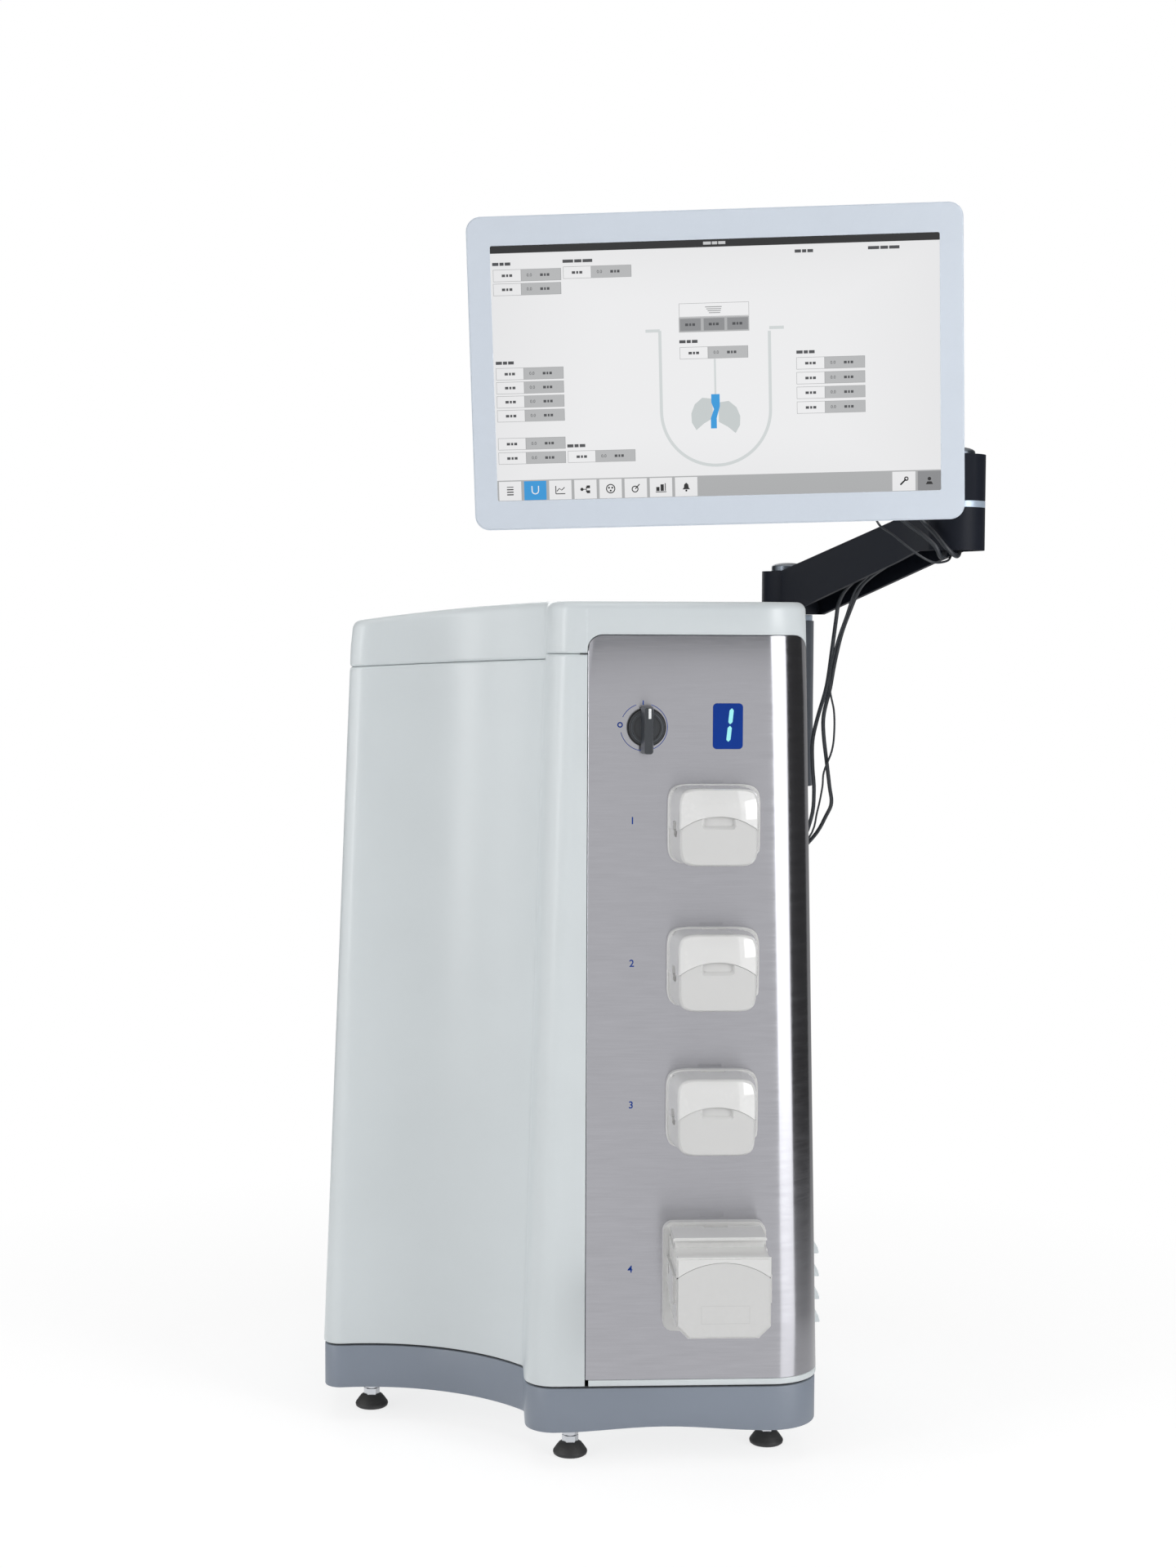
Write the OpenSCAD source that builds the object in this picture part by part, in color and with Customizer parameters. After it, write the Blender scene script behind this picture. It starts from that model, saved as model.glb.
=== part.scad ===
// Bench bioreactor control station: a tall moulded cabinet with a nook for
// the culture vessel, four pump heads on a steel front, a main switch, a unit
// display and a touch monitor on a jointed arm. Millimetres, +Z up. The
// origin is the middle of the front left foot's sole.

/* [Cabinet] */
// Height of the lid's top above the bench
cabinet_h = 760; // [720:5:800]
// Depth from the front panel to the back
cabinet_d = 380; // [360:5:420]
// Width of the moulded column left of the steel panel, at the base
column_w = 53; // [46:1:60]
// Width of the wing left of the column, at the base
wing_w = 183; // [174:1:192]
// Width from the steel panel's left edge to the right side, at the base
bay_w = 209; // [204:1:220]
// How far the right side leans in over the height
right_lean = 16; // [8:1:20]
// How far the column and the nook lean in over the height
column_lean = 19; // [10:1:22]
// How far the wing's side leans in over the height
wing_lean = 28; // [14:1:30]
// Wall of the moulded shell, the lid and the skirt
wall = 3.5; // [3:0.5:5]

/* [Corners and nook] */
// Radius of the vessel nook
nook_r = 182; // [170:2:195]
// How far the nook's centre lies in front of the panel
nook_front = 46; // [40:1:54]
// How far the nook's centre lies left of the column's side
nook_side = 147; // [140:1:155]
// Radius of the column's front corner
column_r = 27; // [20:1:32]
// Radius of the right front corner, which the steel wraps
corner_r = 44; // [38:1:50]
// Radius of the wing's front corner
wing_r = 16; // [12:1:20]
// Radius of the fillet where the column meets the nook
kink_r = 12; // [8:1:16]
// Radius of the two back corners
back_r = 20; // [14:1:26]

/* [Lid] */
// Height of the lid over the column
lid_h = 45; // [38:1:52]
// Radius of the lid's top edge
lid_edge_r = 7.5; // [4:0.5:9]
// How much lower the lid's top is at the wing's side
lid_drop = 18; // [10:1:24]
// How much lower the seam is at the nook than at the column
seam_step = 5.5; // [0:0.5:8]
// How much lower again the seam is at the wing's side
seam_drop = 9; // [4:1:12]

/* [Base] */
// Height of the skirt's lower edge above the bench
skirt_z = 32.5; // [30:0.5:38]
// Height of the skirt's upper edge above the bench
skirt_top = 72; // [66:1:78]
// How far the skirt stands back from the shell
skirt_inset = 1; // [0.5:0.5:4]
// How far the skirt's front edge arches up between its feet
skirt_arch = 4.5; // [0:0.5:7]
// Thickness of the steel base plate
plate_t = 3; // [2:0.5:5]
// Thickness of the gasket between skirt and shell
gasket_t = 1.4; // [0.8:0.1:2]

/* [Feet] */
// Diameter of the rubber pads
pad_d = 31; // [26:1:36]
// Height of the rubber pads
pad_h = 12; // [10:0.5:15]
// Thread diameter of the foot spindles
spindle_d = 8; // [6:1:10]
// Width across the flats of the nuts
nut_af = 13; // [11:1:15]
// Height of the hexagon on the spindle
hex_h = 6; // [5:0.5:7]
// Height of the locknut
locknut_h = 6.5; // [5:0.5:7.5]

/* [Steel front] */
// Thickness of the steel sheet
steel_t = 1.5; // [1:0.25:2.5]
// Height of the panel's lower edge above the bench
panel_z = 80; // [78:1:90]
// How far the panel's upper edge lies below the lid's top
panel_drop = 29; // [26:1:36]
// Radius of the panel's upper corners
panel_r = 13; // [8:1:16]
// Angle of the bend that the steel covers
bend_angle = 82; // [50:1:84]
// Depth of the folded flange at the panel's left edge
flange_d = 14; // [8:1:20]

/* [Switch] */
// Distance of the switch from the panel's left edge
switch_x = 50.5; // [46:0.5:60]
// Height of the switch above the bench
switch_z = 652; // [630:1:660]
// Diameter of the knob's disc
knob_d = 31; // [28:1:36]
// Length of the knob's bar
knob_bar_l = 41; // [36:1:46]
// Width of the knob's bar
knob_bar_w = 11; // [9:0.5:13]
// Diameter of the switch's neck through the panel
switch_neck_d = 22; // [18:1:24]

/* [Unit display] */
// Distance of the window's middle from the panel's left edge
window_x = 121; // [118:1:130]
// Height of the window's middle above the bench
window_z = 653; // [640:1:660]
// Width of the window
window_w = 26; // [22:1:30]
// Height of the window
window_h = 39.5; // [34:0.5:44]
// Thickness of the window
window_t = 1; // [0.8:0.1:1.5]

/* [Small pumps] */
// Distance of the pumps' middle from the panel's left edge
pump_x = 109; // [106:1:112]
// Height of the top pump's middle above the bench
pump_z = 569; // [560:1:575]
// Distance from one small pump to the next
pump_pitch = 124; // [110:1:130]
// Width of a small pump at the panel
pump_w = 80; // [74:1:84]
// Width of a small pump at its front
pump_front_w = 66; // [60:1:70]
// Height of a small pump
pump_h = 68; // [62:1:74]
// Depth of a small pump
pump_d = 50; // [44:1:56]
// Diameter of a small pump's rotor over its rollers
rotor_d = 38; // [32:1:40]

/* [Large pump] */
// Distance of the large pump's middle from the panel's left edge
big_x = 112; // [106:0.5:115]
// Height of the large pump's middle above the bench
big_z = 173.7; // [170:0.1:180]
// Width of the large pump's flange
big_w = 90; // [86:1:96]
// Width of the large pump's head
big_front_w = 80; // [74:1:84]
// Height of the large pump's flange
big_h = 96; // [92:1:100]
// Depth of the large pump
big_d = 88; // [80:1:96]
// Diameter of the large pump's rotor over its rollers
big_rotor_d = 46; // [40:1:48]

/* [Pole] */
// Distance of the pole's axis from the panel's left edge
pole_x = 225; // [222:1:232]
// How far the pole's axis lies behind the cabinet's back
pole_back = 23; // [20:1:30]
// Outer diameter of the pole
pole_d = 54; // [50:1:56]
// Height of the pole's lower end above the bench
pole_z = 575; // [560:5:590]
// Height of the pole's shoulder above the bench
pole_top = 744; // [735:1:750]
// Diameter of the pivot on the pole's top
pivot_d = 24; // [20:1:28]

/* [Arm] */
// Length of the lower arm between its pivots
lower_l = 333; // [310:1:350]
// Bearing of the lower arm, from straight forward towards the right
lower_turn = 19.1; // [15:0.1:25]
// Bearing of the upper arm, from straight left towards the front
upper_turn = 34.6; // [30:0.1:40]
// Length of the upper arm between its pivots
upper_l = 282; // [270:1:295]
// Diameter of the arms' pivot hubs
hub_d = 53; // [50:1:56]
// Width of the arms' beams
beam_w = 44; // [38:1:46]
// Height of the pole end's hub
hub_h = 44; // [40:1:48]
// Height of the elbow end's hub
elbow_h = 38; // [34:1:42]
// How much the lower arm rises from pole to elbow
lower_rise = 57; // [46:1:62]
// How much the upper arm rises from elbow to head
upper_rise = 40; // [34:1:44]
// Wall of the cast arms
arm_wall = 4; // [3:0.5:5]
// Height of the friction washer on the pole
pole_washer_h = 6; // [4:0.5:8]
// Height of the friction washer in the elbow
elbow_washer_h = 6; // [4:0.5:8]

/* [Monitor] */
// Width of the monitor
monitor_w = 384.8; // [370:0.1:400]
// Height of the monitor
monitor_h = 243; // [235:0.1:255]
// Depth of the monitor
monitor_d = 38; // [32:1:44]
// Radius of the monitor's corners
monitor_r = 11.5; // [8:0.5:14]
// Depth of the front bezel
bezel_d = 12; // [8:1:14]
// Width of the touch glass
glass_w = 348; // [340:1:356]
// Height of the touch glass
glass_h = 197.5; // [190:0.5:204]
// Thickness of the touch glass
glass_t = 3; // [2:0.5:4]
// Turn of the monitor, its right side towards the front
monitor_yaw = 6.3; // [0:0.1:12]
// Lean of the monitor, its top towards the front
monitor_lean = 4.8; // [0:0.1:8]
// Roll of the monitor, its right side up
monitor_roll = 1.5; // [0:0.1:3]
// Spacing of the four screws on the monitor's back
vesa = 100; // [75:25:100]
// Distance from the monitor's back to the tilt axis
tilt_reach = 34; // [32:1:38]
// Distance from the tilt axis back to the head pivot
head_reach = 38; // [36:1:42]

/* [Back] */
// Height of the back opening's lower edge
back_z = 118; // [112:2:130]
// Distance of the back opening from the wing's side
back_margin = 38; // [34:1:46]
// Distance of the back opening from the right side, beside the pole's bracket
pole_margin = 80; // [76:1:90]
// Side of the square fan
fan_w = 80; // [60:20:80]
// Thickness of the fan
fan_t = 25; // [20:1:28]

/* [Hidden] */

$fn = 64;
eps = 0.01;
// Gap between neighbours that seat on each other
seat = 0.3;
// Radial clearance of a shaft in its bore
running = 0.05;

shell_z = skirt_top + gasket_t + 2 * seat;
seam_z = cabinet_h - lid_h;
panel_top = cabinet_h - panel_drop;
nook_y = -nook_front;
leans_over = cabinet_h - shell_z;
feet = [
    [-11, 42], [bay_w - 41, 65], [-column_w - wing_w + 43, 184],
    [-column_w - wing_w + 43, cabinet_d - 40], [bay_w - 41, cabinet_d - 40]
];

// ---------- Plan of the cabinet ----------

// Share of the leaning height at height z
function share(z) = max(0, min(1, (z - shell_z) / leans_over));
function right_x(z) = bay_w - right_lean * share(z);
function column_x(z) = -column_w + column_lean * share(z);
function wing_x(z) = -column_w - wing_w + wing_lean * share(z);
function nook_x(z) = column_x(z) - nook_side;
function arc(c, r, a0, a1, n) = [for (i = [0:n]) c + r * [cos(a0 + (a1 - a0) * i / n), sin(a0 + (a1 - a0) * i / n)]];

// Centres of the wing's corner and of the fillet beside the column
function wing_c(z) =
    let (x = wing_x(z) + wing_r) [x, nook_y + sqrt(pow(nook_r + wing_r, 2) - pow(x - nook_x(z), 2))];
function kink_c(z) =
    let (x = column_x(z) - kink_r) [x, nook_y + sqrt(pow(nook_r - kink_r, 2) - pow(x - nook_x(z), 2))];
function bearing(from, to) = atan2(to.y - from.y, to.x - from.x);

front_steps = 10;
// The outline at height z, set in by d, counter-clockwise from the column's front
function plan(z, d) =
    let (
        column_c = [column_x(z) + column_r, column_r],
        corner_c = [right_x(z) - corner_r, corner_r],
        nook_c = [nook_x(z), nook_y],
        wing_a = bearing(wing_c(z), nook_c) + 360,
        kink_a = bearing(nook_c, kink_c(z))
    )
    concat(
        [for (i = [0:front_steps - 1]) [column_c.x + (corner_c.x - column_c.x) * i / front_steps, d]],
        arc(corner_c, corner_r - d, -90, 0, 12),
        arc([right_x(z) - back_r, cabinet_d - back_r], back_r - d, 0, 90, 5),
        arc([wing_x(z) + back_r, cabinet_d - back_r], back_r - d, 90, 180, 5),
        arc(wing_c(z), wing_r - d, 180, wing_a, 7),
        arc(nook_c, nook_r + d, wing_a - 180 - 2, kink_a + 2, 18),
        arc(kink_c(z), kink_r + d, kink_a, 0, 4),
        arc(column_c, column_r - d, 180, 262, 9)
    );

// Height of the lid's top, which falls off towards the wing
function wing_share(x) = max(0, (x - column_x(cabinet_h)) / (wing_x(cabinet_h) - column_x(cabinet_h)));
function top_z(x) = cabinet_h - lid_drop * (0.55 * wing_share(x) + 0.45 * pow(wing_share(x), 2));
// Height of the seam under the lid: a step at the nook, then falling to the wing
function on_column(p) = p.y < column_r + 10 && p.x > column_x(seam_z) - 4;
function step_share(p) = on_column(p) ? 0 : p.y < cabinet_d / 2 && p.x < 0 ? 1 : wing_share(p.x);
function seam(p) = seam_z - seam_step * step_share(p) - seam_drop * wing_share(p.x);

// Rings of points, and the faces of a loft through them
function ring(z, d) = [for (p = plan(z, d)) [p.x, p.y, z]];
function loop_faces(n, m, closed) = [
    for (j = [0:m - (closed ? 1 : 2)], i = [0:n - 1])
        let (a = j * n, b = ((j + 1) % m) * n, k = (i + 1) % n)
        each [[a + i, b + i, a + k], [b + i, b + k, a + k]]
];

// A ring-shaped body through closed rings
module hoop(rings) {
    n = len(rings[0]);
    polyhedron([for (r = rings, p = r) p], loop_faces(n, len(rings), true), convexity = 8);
}

// A body between a first and a last flat ring
module prism(rings) {
    n = len(rings[0]);
    m = len(rings);
    polyhedron(
        [for (r = rings, p = r) p],
        concat(loop_faces(n, m, false), [[for (i = [0:n - 1]) i], [for (i = [n:-1:1]) (m - 1) * n + i % n]]),
        convexity = 8
    );
}

// A folded sheet: each ring runs along its outer side and back along its inner side
module folded(rings) {
    n = len(rings[0]);
    last = (len(rings) - 1) * n;
    polyhedron(
        [for (r = rings, p = r) p],
        concat(
            loop_faces(n, len(rings), false),
            [for (i = [0:n / 2 - 2]) [i, i + 1, n - 2 - i, n - 1 - i]],
            [for (i = [0:n / 2 - 2]) [last + n - 1 - i, last + n - 2 - i, last + i + 1, last + i]]
        ),
        convexity = 8
    );
}

// A bowl upside down: its rings run from the middle of the ceiling to the middle of the top
module dome(under, rings, over) {
    n = len(rings[0]);
    m = len(rings);
    polyhedron(
        concat([for (r = rings, p = r) p], [under, over]),
        concat(
            loop_faces(n, m, false),
            [for (i = [0:n - 1]) [m * n, i, (i + 1) % n]],
            [for (i = [0:n - 1]) [m * n + 1, (m - 1) * n + (i + 1) % n, (m - 1) * n + i]]
        ),
        convexity = 8
    );
}

// ---------- Shared small shapes ----------

module rounded(w, h, r) {
    square([w - 2 * r, h], center = true);
    square([w, h - 2 * r], center = true);
    for (x = [-1, 1], y = [-1, 1]) translate([x * (w / 2 - r), y * (h / 2 - r)]) circle(r);
}

// A rounded plate standing in the XZ plane, its front at y = 0, going back by t
module upright(w, h, r, t) rotate([90, 0, 0]) translate([0, 0, -t]) linear_extrude(t) rounded(w, h, r);

// A rod along Y from y0 to y1
module rod(r, y0, y1) rotate([-90, 0, 0]) translate([0, 0, y0]) cylinder(r = r, h = y1 - y0);

module hexagon(af, h) cylinder(d = af / cos(30), h = h, $fn = 6);

// A tube through points, each ring square to the route
function unit(v) = v / norm(v);
function heading(p, i) = unit(p[min(i + 1, len(p) - 1)] - p[max(i - 1, 0)]);
function side_of(t) = unit(cross(t, abs(t.z) > 0.9 ? [0.6, 0.8, 0] : [0, 0, 1]));
function carried(p, i) =
    i == 0 ? side_of(heading(p, 0))
    : let (s = carried(p, i - 1), t = heading(p, i)) unit(s - t * (s * t));
cord_sides = 8;
module tube(p, d) {
    rings = [
        for (i = [0:len(p) - 1])
            let (s = carried(p, i), u = cross(heading(p, i), s))
            [for (k = [0:cord_sides - 1]) let (a = 360 * k / cord_sides) p[i] + d / 2 * (cos(a) * s + sin(a) * u)]
    ];
    prism(rings);
}

// A smooth curve through hand-set points, n steps between neighbours
function blend4(a, b, c, d, t) =
    0.5 * (2 * b + (c - a) * t + (2 * a - 5 * b + 4 * c - d) * t * t + (3 * b - a - 3 * c + d) * t * t * t);
function smooth(p, n) = concat(
    [
        for (i = [0:len(p) - 2], k = [0:n - 1])
            blend4(p[max(i - 1, 0)], p[i], p[i + 1], p[min(i + 2, len(p) - 1)], k / n)
    ],
    [p[len(p) - 1]]
);

// ---------- Base ----------

skirt_outer = skirt_inset;
function arch(p) =
    p.y > skirt_outer + eps ? 0
    : skirt_arch * pow(sin(180 * (p.x + column_w - column_r) / (bay_w - corner_r + column_w - column_r)), 2);
function skirt_ring(z, d, arched) = [for (p = plan(shell_z, skirt_inset + d)) [p.x, p.y, z + (arched ? arch(p) : 0)]];

module base_skirt() color([0.50, 0.53, 0.58])
    hoop([
        skirt_ring(skirt_z, 3, true), skirt_ring(skirt_z + 2, 1.2, true), skirt_ring(skirt_z + 8, 0.4, true),
        skirt_ring(skirt_z + 16, 0, false), skirt_ring(skirt_top - 1, 0, false), skirt_ring(skirt_top, 1, false),
        skirt_ring(skirt_top, wall + 8, false), skirt_ring(skirt_top - wall, wall + 8, false),
        skirt_ring(skirt_top - wall, wall, false), skirt_ring(skirt_z + 16, wall, false),
        skirt_ring(skirt_z + 8, wall + 0.4, true), skirt_ring(skirt_z, wall + 2, true)
    ]);

plate_z = skirt_z + 12;
plate_inset = skirt_inset + wall + 2.4;
boss_z = pad_h + hex_h + locknut_h + 0.6;
module base_plate() color([0.62, 0.63, 0.65])
    difference() {
        union() {
            translate([0, 0, plate_z]) linear_extrude(plate_t) polygon(plan(shell_z, plate_inset));
            for (f = feet) translate([f.x, f.y, boss_z]) cylinder(d = 2.6 * spindle_d, h = plate_z - boss_z + 1);
            // Uprights that carry the skirt's flange
            for (p = carriers) translate([p.x - 8, p.y - 8, plate_z]) cube([16, 16, skirt_top - wall - seat - plate_z]);
        }
        for (f = feet) translate([f.x, f.y, boss_z - 1])
            cylinder(d = spindle_d + 2 * running, h = plate_z + plate_t - boss_z + 2);
    }
carriers = [
    [30, plate_inset + 8.6], [bay_w - 55, cabinet_d - plate_inset - 8.6],
    [-column_w - wing_w + 60, cabinet_d - plate_inset - 8.6], [bay_w - plate_inset - 8.6, cabinet_d / 2],
    [-column_w - wing_w + plate_inset + 8.6, cabinet_d * 0.6]
];

module seam_gasket() color([0.22, 0.23, 0.24])
    translate([0, 0, skirt_top + seat]) linear_extrude(gasket_t) difference() {
        polygon(plan(shell_z, skirt_inset + 2));
        polygon(plan(shell_z, skirt_inset + 9));
    }

module foot_pads() color([0.09, 0.09, 0.10])
    for (f = feet) translate([f.x, f.y, 0]) rotate_extrude()
        polygon([
            [0, 0], [pad_d / 2 - 2, 0], [pad_d / 2 - 0.6, 1], [pad_d / 2, 3], [pad_d / 2 - 0.5, 4.2],
            [0.8 * pad_d / 2, 0.66 * pad_h], [0.78 * pad_d / 2, 0.7 * pad_h], [0.75 * pad_d / 2, 0.72 * pad_h],
            [0.68 * pad_d / 2, 0.86 * pad_h], [0.56 * pad_d / 2, 0.97 * pad_h], [0.45 * pad_d / 2, pad_h], [0, pad_h]
        ]);

module foot_spindles() color([0.80, 0.81, 0.83])
    for (f = feet) translate([f.x, f.y, pad_h]) {
        hexagon(nut_af, hex_h);
        cylinder(d = spindle_d, h = plate_z + plate_t + 6 - pad_h);
    }

module foot_locknuts() color([0.80, 0.81, 0.83])
    for (f = feet) translate([f.x, f.y, pad_h + hex_h + seat]) difference() {
        intersection() {
            hexagon(nut_af, locknut_h);
            union() {
                cylinder(r1 = nut_af / 2, r2 = nut_af / 2 + 1.2, h = 1.2);
                translate([0, 0, 1.2]) cylinder(r = nut_af / 2 + 1.2, h = locknut_h - 2.4);
                translate([0, 0, locknut_h - 1.2]) cylinder(r1 = nut_af / 2 + 1.2, r2 = nut_af / 2, h = 1.2);
            }
        }
        translate([0, 0, -1]) cylinder(d = spindle_d + 2 * running, h = locknut_h + 2);
    }

// ---------- Shell, lid and steel front ----------

// Depth of the groove along the seam
groove = 1.8;
function seam_ring(d, lower) = [for (p = plan(seam_z, d)) [p.x, p.y, seam(p) - lower]];

// Where the steel's right edge lies at height z, at depth r of the corner
function bend_at(z, r, a) = [right_x(z) - corner_r + r * sin(a), corner_r - r * cos(a)];

// The space that the steel front fills, gap wider on each side, from z0 to z1
module front_gap(z0, z1, gap) prism([
    for (z = [z0, z1]) [
        for (p = [
            [right_x(z) - corner_r, flange_d + 2], [-gap, flange_d + 2], [-gap, -5], [right_x(z) + 5, -5],
            bend_at(z, corner_r + 5, bend_angle + gap / corner_r * 57.3),
            bend_at(z, corner_r - flange_d, bend_angle + gap / corner_r * 57.3)
        ]) [p.x, p.y, z]
    ]
]);

vent_y0 = corner_r + 8;
vent_l = 110;
vent_z0 = 98;
vent_h = 96;
module vent_place() translate([right_x(vent_z0), vent_y0, vent_z0])
    rotate([0, -atan(right_lean / leans_over), 0]) children();

// The opening in the back, with its edges moved out by margin
opening_x0 = wing_x(seam_z) + back_margin;
opening_x1 = right_x(seam_z) - pole_margin;
opening_z1 = seam_z - seam_step - seam_drop - 20;
module back_opening(margin) translate([opening_x0 - margin, cabinet_d - wall - 8, back_z - margin])
    cube([opening_x1 - opening_x0 + 2 * margin, wall + 9, opening_z1 - back_z + 2 * margin]);

module body_shell() color([0.83, 0.86, 0.85])
    difference() {
        hoop([
            ring(shell_z, 1.2), ring(shell_z + 0.5, 0.3), ring(shell_z + 1.5, 0), ring(250, 0), ring(450, 0), ring(620, 0),
            seam_ring(0, seat + 2.4), seam_ring(0.4, seat + 1), seam_ring(groove, seat), seam_ring(wall, seat),
            ring(620, wall), ring(450, wall), ring(250, wall), ring(shell_z + wall, wall),
            ring(shell_z + wall, wall + 6), ring(shell_z, wall + 6)
        ]);
        front_gap(panel_z - seat, cabinet_h, seat);
        translate([-seat, -1, shell_z - 1]) cube([3 + seat, wall + 2, panel_z - shell_z + 1]);
        back_opening(0);
        vent_place() translate([-wall - 1, 0, 0]) cube([wall + 3, vent_l, vent_h]);
        for (s = back_screws) translate([s.x, 0, s.y]) rod(screw_r + running, cabinet_d - wall - 1, cabinet_d + 1);
        for (s = bracket_bolts) translate([s.x, 0, s.y]) rod(bolt_r + running, cabinet_d - wall - 1, cabinet_d + 1);
    }

lid_rings = [0.72, 0.4];
function shrunk(d, k, lower) =
    let (c = [60, 0.6 * cabinet_d])
    [for (p = plan(cabinet_h, d)) let (q = c + k * (p - c)) [q.x, q.y, top_z(q.x) - lower]];
function edge_ring(a) = [
    for (p = plan(cabinet_h, lid_edge_r * (1 - cos(a)))) [p.x, p.y, top_z(p.x) - lid_edge_r * (1 - sin(a))]
];

module lid() color([0.84, 0.87, 0.86])
    difference() {
        dome(
            [60, 0.6 * cabinet_d, top_z(60) - wall],
            concat(
                [for (i = [len(lid_rings) - 1:-1:0]) shrunk(wall, lid_rings[i], wall)],
                [shrunk(wall + lid_edge_r * 0.7, 1, wall), shrunk(wall, 1, wall + lid_edge_r * 0.7), seam_ring(wall, 0),
                 seam_ring(groove, 0), seam_ring(0.4, -0.7), seam_ring(0, -2.1)],
                [for (a = [0:15:90]) edge_ring(a)],
                [for (k = lid_rings) shrunk(lid_edge_r, k, 0)]
            ),
            [60, 0.6 * cabinet_d, top_z(60)]
        );
        panel_outline(seat, seam_z - 20);
    }

// The steel front's outline, seen from the front, as a cutter through the front wall
module panel_outline(gap, z0) {
    top = panel_top + gap;
    right = bend_at(panel_top, corner_r, bend_angle).x + gap;
    translate([0, corner_r - corner_r * cos(bend_angle) + 1, 0]) rotate([90, 0, 0])
        linear_extrude(corner_r - corner_r * cos(bend_angle) + 6) polygon(concat(
            [[-gap, z0], [right, z0]],
            arc([right - panel_r, top - panel_r], panel_r, 0, 90, 12),
            arc([panel_r - gap, top - panel_r], panel_r, 90, 180, 12)
        ));
}

bend_steps = 14;
function panel_plan(z) = concat(
    [[0, flange_d], [0, 0]],
    [for (i = [0:bend_steps]) bend_at(z, corner_r, bend_angle * i / bend_steps)],
    [for (i = [bend_steps:-1:0]) bend_at(z, corner_r - steel_t, bend_angle * i / bend_steps)],
    [[steel_t, steel_t], [steel_t, flange_d]]
);

module front_panel() color([0.60, 0.60, 0.62])
    difference() {
        intersection() {
            folded([for (z = [panel_z, panel_top + 5]) [for (p = panel_plan(z)) [p.x, p.y, z]]]);
            union() {
                panel_outline(0, panel_z - 1);
                translate([-1, -1, panel_z - 1]) cube([2 * steel_t, flange_d + 2, panel_top - panel_r - panel_z]);
                translate([0, 0, panel_z - 1]) cube([bay_w + 5, corner_r, panel_top - panel_r - panel_z]);
            }
        }
        translate([switch_x, 0, switch_z]) rod(switch_neck_d / 2 + seat, -1, steel_t + 1);
        translate([window_x, -1, window_z]) upright(window_w - 6, window_h - 6, 1.5, steel_t + 2);
        for (i = [0:2]) translate([pump_x, 0, pump_z - i * pump_pitch]) rod(gear_boss_r + seat, -1, steel_t + 1);
        translate([big_x, 0, big_z]) rod(gear_boss_r + seat, -1, steel_t + 1);
    }

louvres = 4;
louvre_pitch = 21;
module side_vent() color([0.83, 0.86, 0.85])
    vent_place() difference() {
        union() {
            translate([-wall, seat, seat]) cube([wall, vent_l - 2 * seat, vent_h - 2 * seat]);
            for (i = [0:louvres - 1])
                translate([-0.5, 8, 14 + i * louvre_pitch]) rotate([-90, 0, 0]) linear_extrude(vent_l - 16)
                    polygon([[0, 0], [7.1, 0], [7.5, -1], [6.3, -5.5], [3.3, -10.5], [0, -14.5]]);
        }
        for (i = [0:louvres - 1])
            translate([-wall - 1, 11, 14 + i * louvre_pitch]) rotate([-90, 0, 0]) linear_extrude(vent_l - 22)
                polygon([[0, 1], [wall + 5.4, 1], [wall + 5.4, -1], [wall + 4.4, -4.8], [wall + 1.6, -9.4], [0, -11]]);
    }

screw_r = 1.6;
bolt_r = 2.5;
// How far the back panel laps behind the shell around its opening
back_lap = 10;
panel_plate_t = 2;
panel_plate_y = cabinet_d - wall - panel_plate_t - seat;
bracket_z1 = min(pole_top - 36, seam_z - 7);
bracket_z0 = bracket_z1 - 112;
screw_z = [back_z + 30, (back_z + opening_z1) / 2, min(opening_z1 - 120, bracket_z0 - 12)];
back_screws = [for (x = [opening_x0 - back_lap / 2, opening_x1 + back_lap / 2], z = screw_z) [x, z]];
bracket_bolts = [for (x = [opening_x1 + 16, opening_x1 + 48], z = [bracket_z0 + 12, bracket_z1 - 12]) [x, z]];
ports = [for (x = [-150, -120, -90, -60]) [x, opening_z1 - 120]];
port_r = 5;
glands = [for (drop = [100, 118, 136]) [95, pole_z - drop]];
gland_r = 6;
fan = [50, opening_z1 - fan_w];
inlet = [60, 160];
inlet_w = 28;
inlet_h = 22;
fan_hole_r = fan_w / 2 - 2;
module back_panel() color([0.66, 0.67, 0.69])
    difference() {
        intersection() {
            back_opening(back_lap);
            translate([-500, panel_plate_y, 0]) cube([1000, panel_plate_t, cabinet_h]);
        }
        translate([fan.x, panel_plate_y - 1, fan.y]) difference() {
            rod(fan_hole_r, 0, panel_plate_t + 2);
            // Rings and spokes of the finger guard
            for (r = [12, 25]) difference() {
                rod(r + 1.5, -1, panel_plate_t + 3);
                rod(r, -2, panel_plate_t + 4);
            }
            for (a = [45, 135]) rotate([0, a, 0])
                translate([-fan_hole_r, -1, -1.5]) cube([2 * fan_hole_r, panel_plate_t + 4, 3]);
        }
        translate([inlet.x, panel_plate_y - 1, inlet.y]) upright(inlet_w, inlet_h, 2, panel_plate_t + 2);
        for (p = ports) translate([p.x, panel_plate_y - 1, p.y]) rod(port_r + running, 0, panel_plate_t + 2);
        for (g = glands) translate([g.x, panel_plate_y - 1, g.y]) rod(gland_r + running, 0, panel_plate_t + 2);
        for (s = back_screws) translate([s.x, panel_plate_y - 1, s.y]) rod(screw_r + running, 0, panel_plate_t + 2);
    }

// ---------- Switch and unit display ----------

switch_bezel_r = 17;
switch_bezel_t = 3.5;
switch_nut_y = 12;
shaft_r = 3.5;
knob_gap = 0.3;
knob_disc_y = -9;
knob_step_y = -12;
knob_bar_y = -30;
knob_taper = 4;
module at_switch() translate([switch_x, 0, switch_z]) children();

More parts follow.
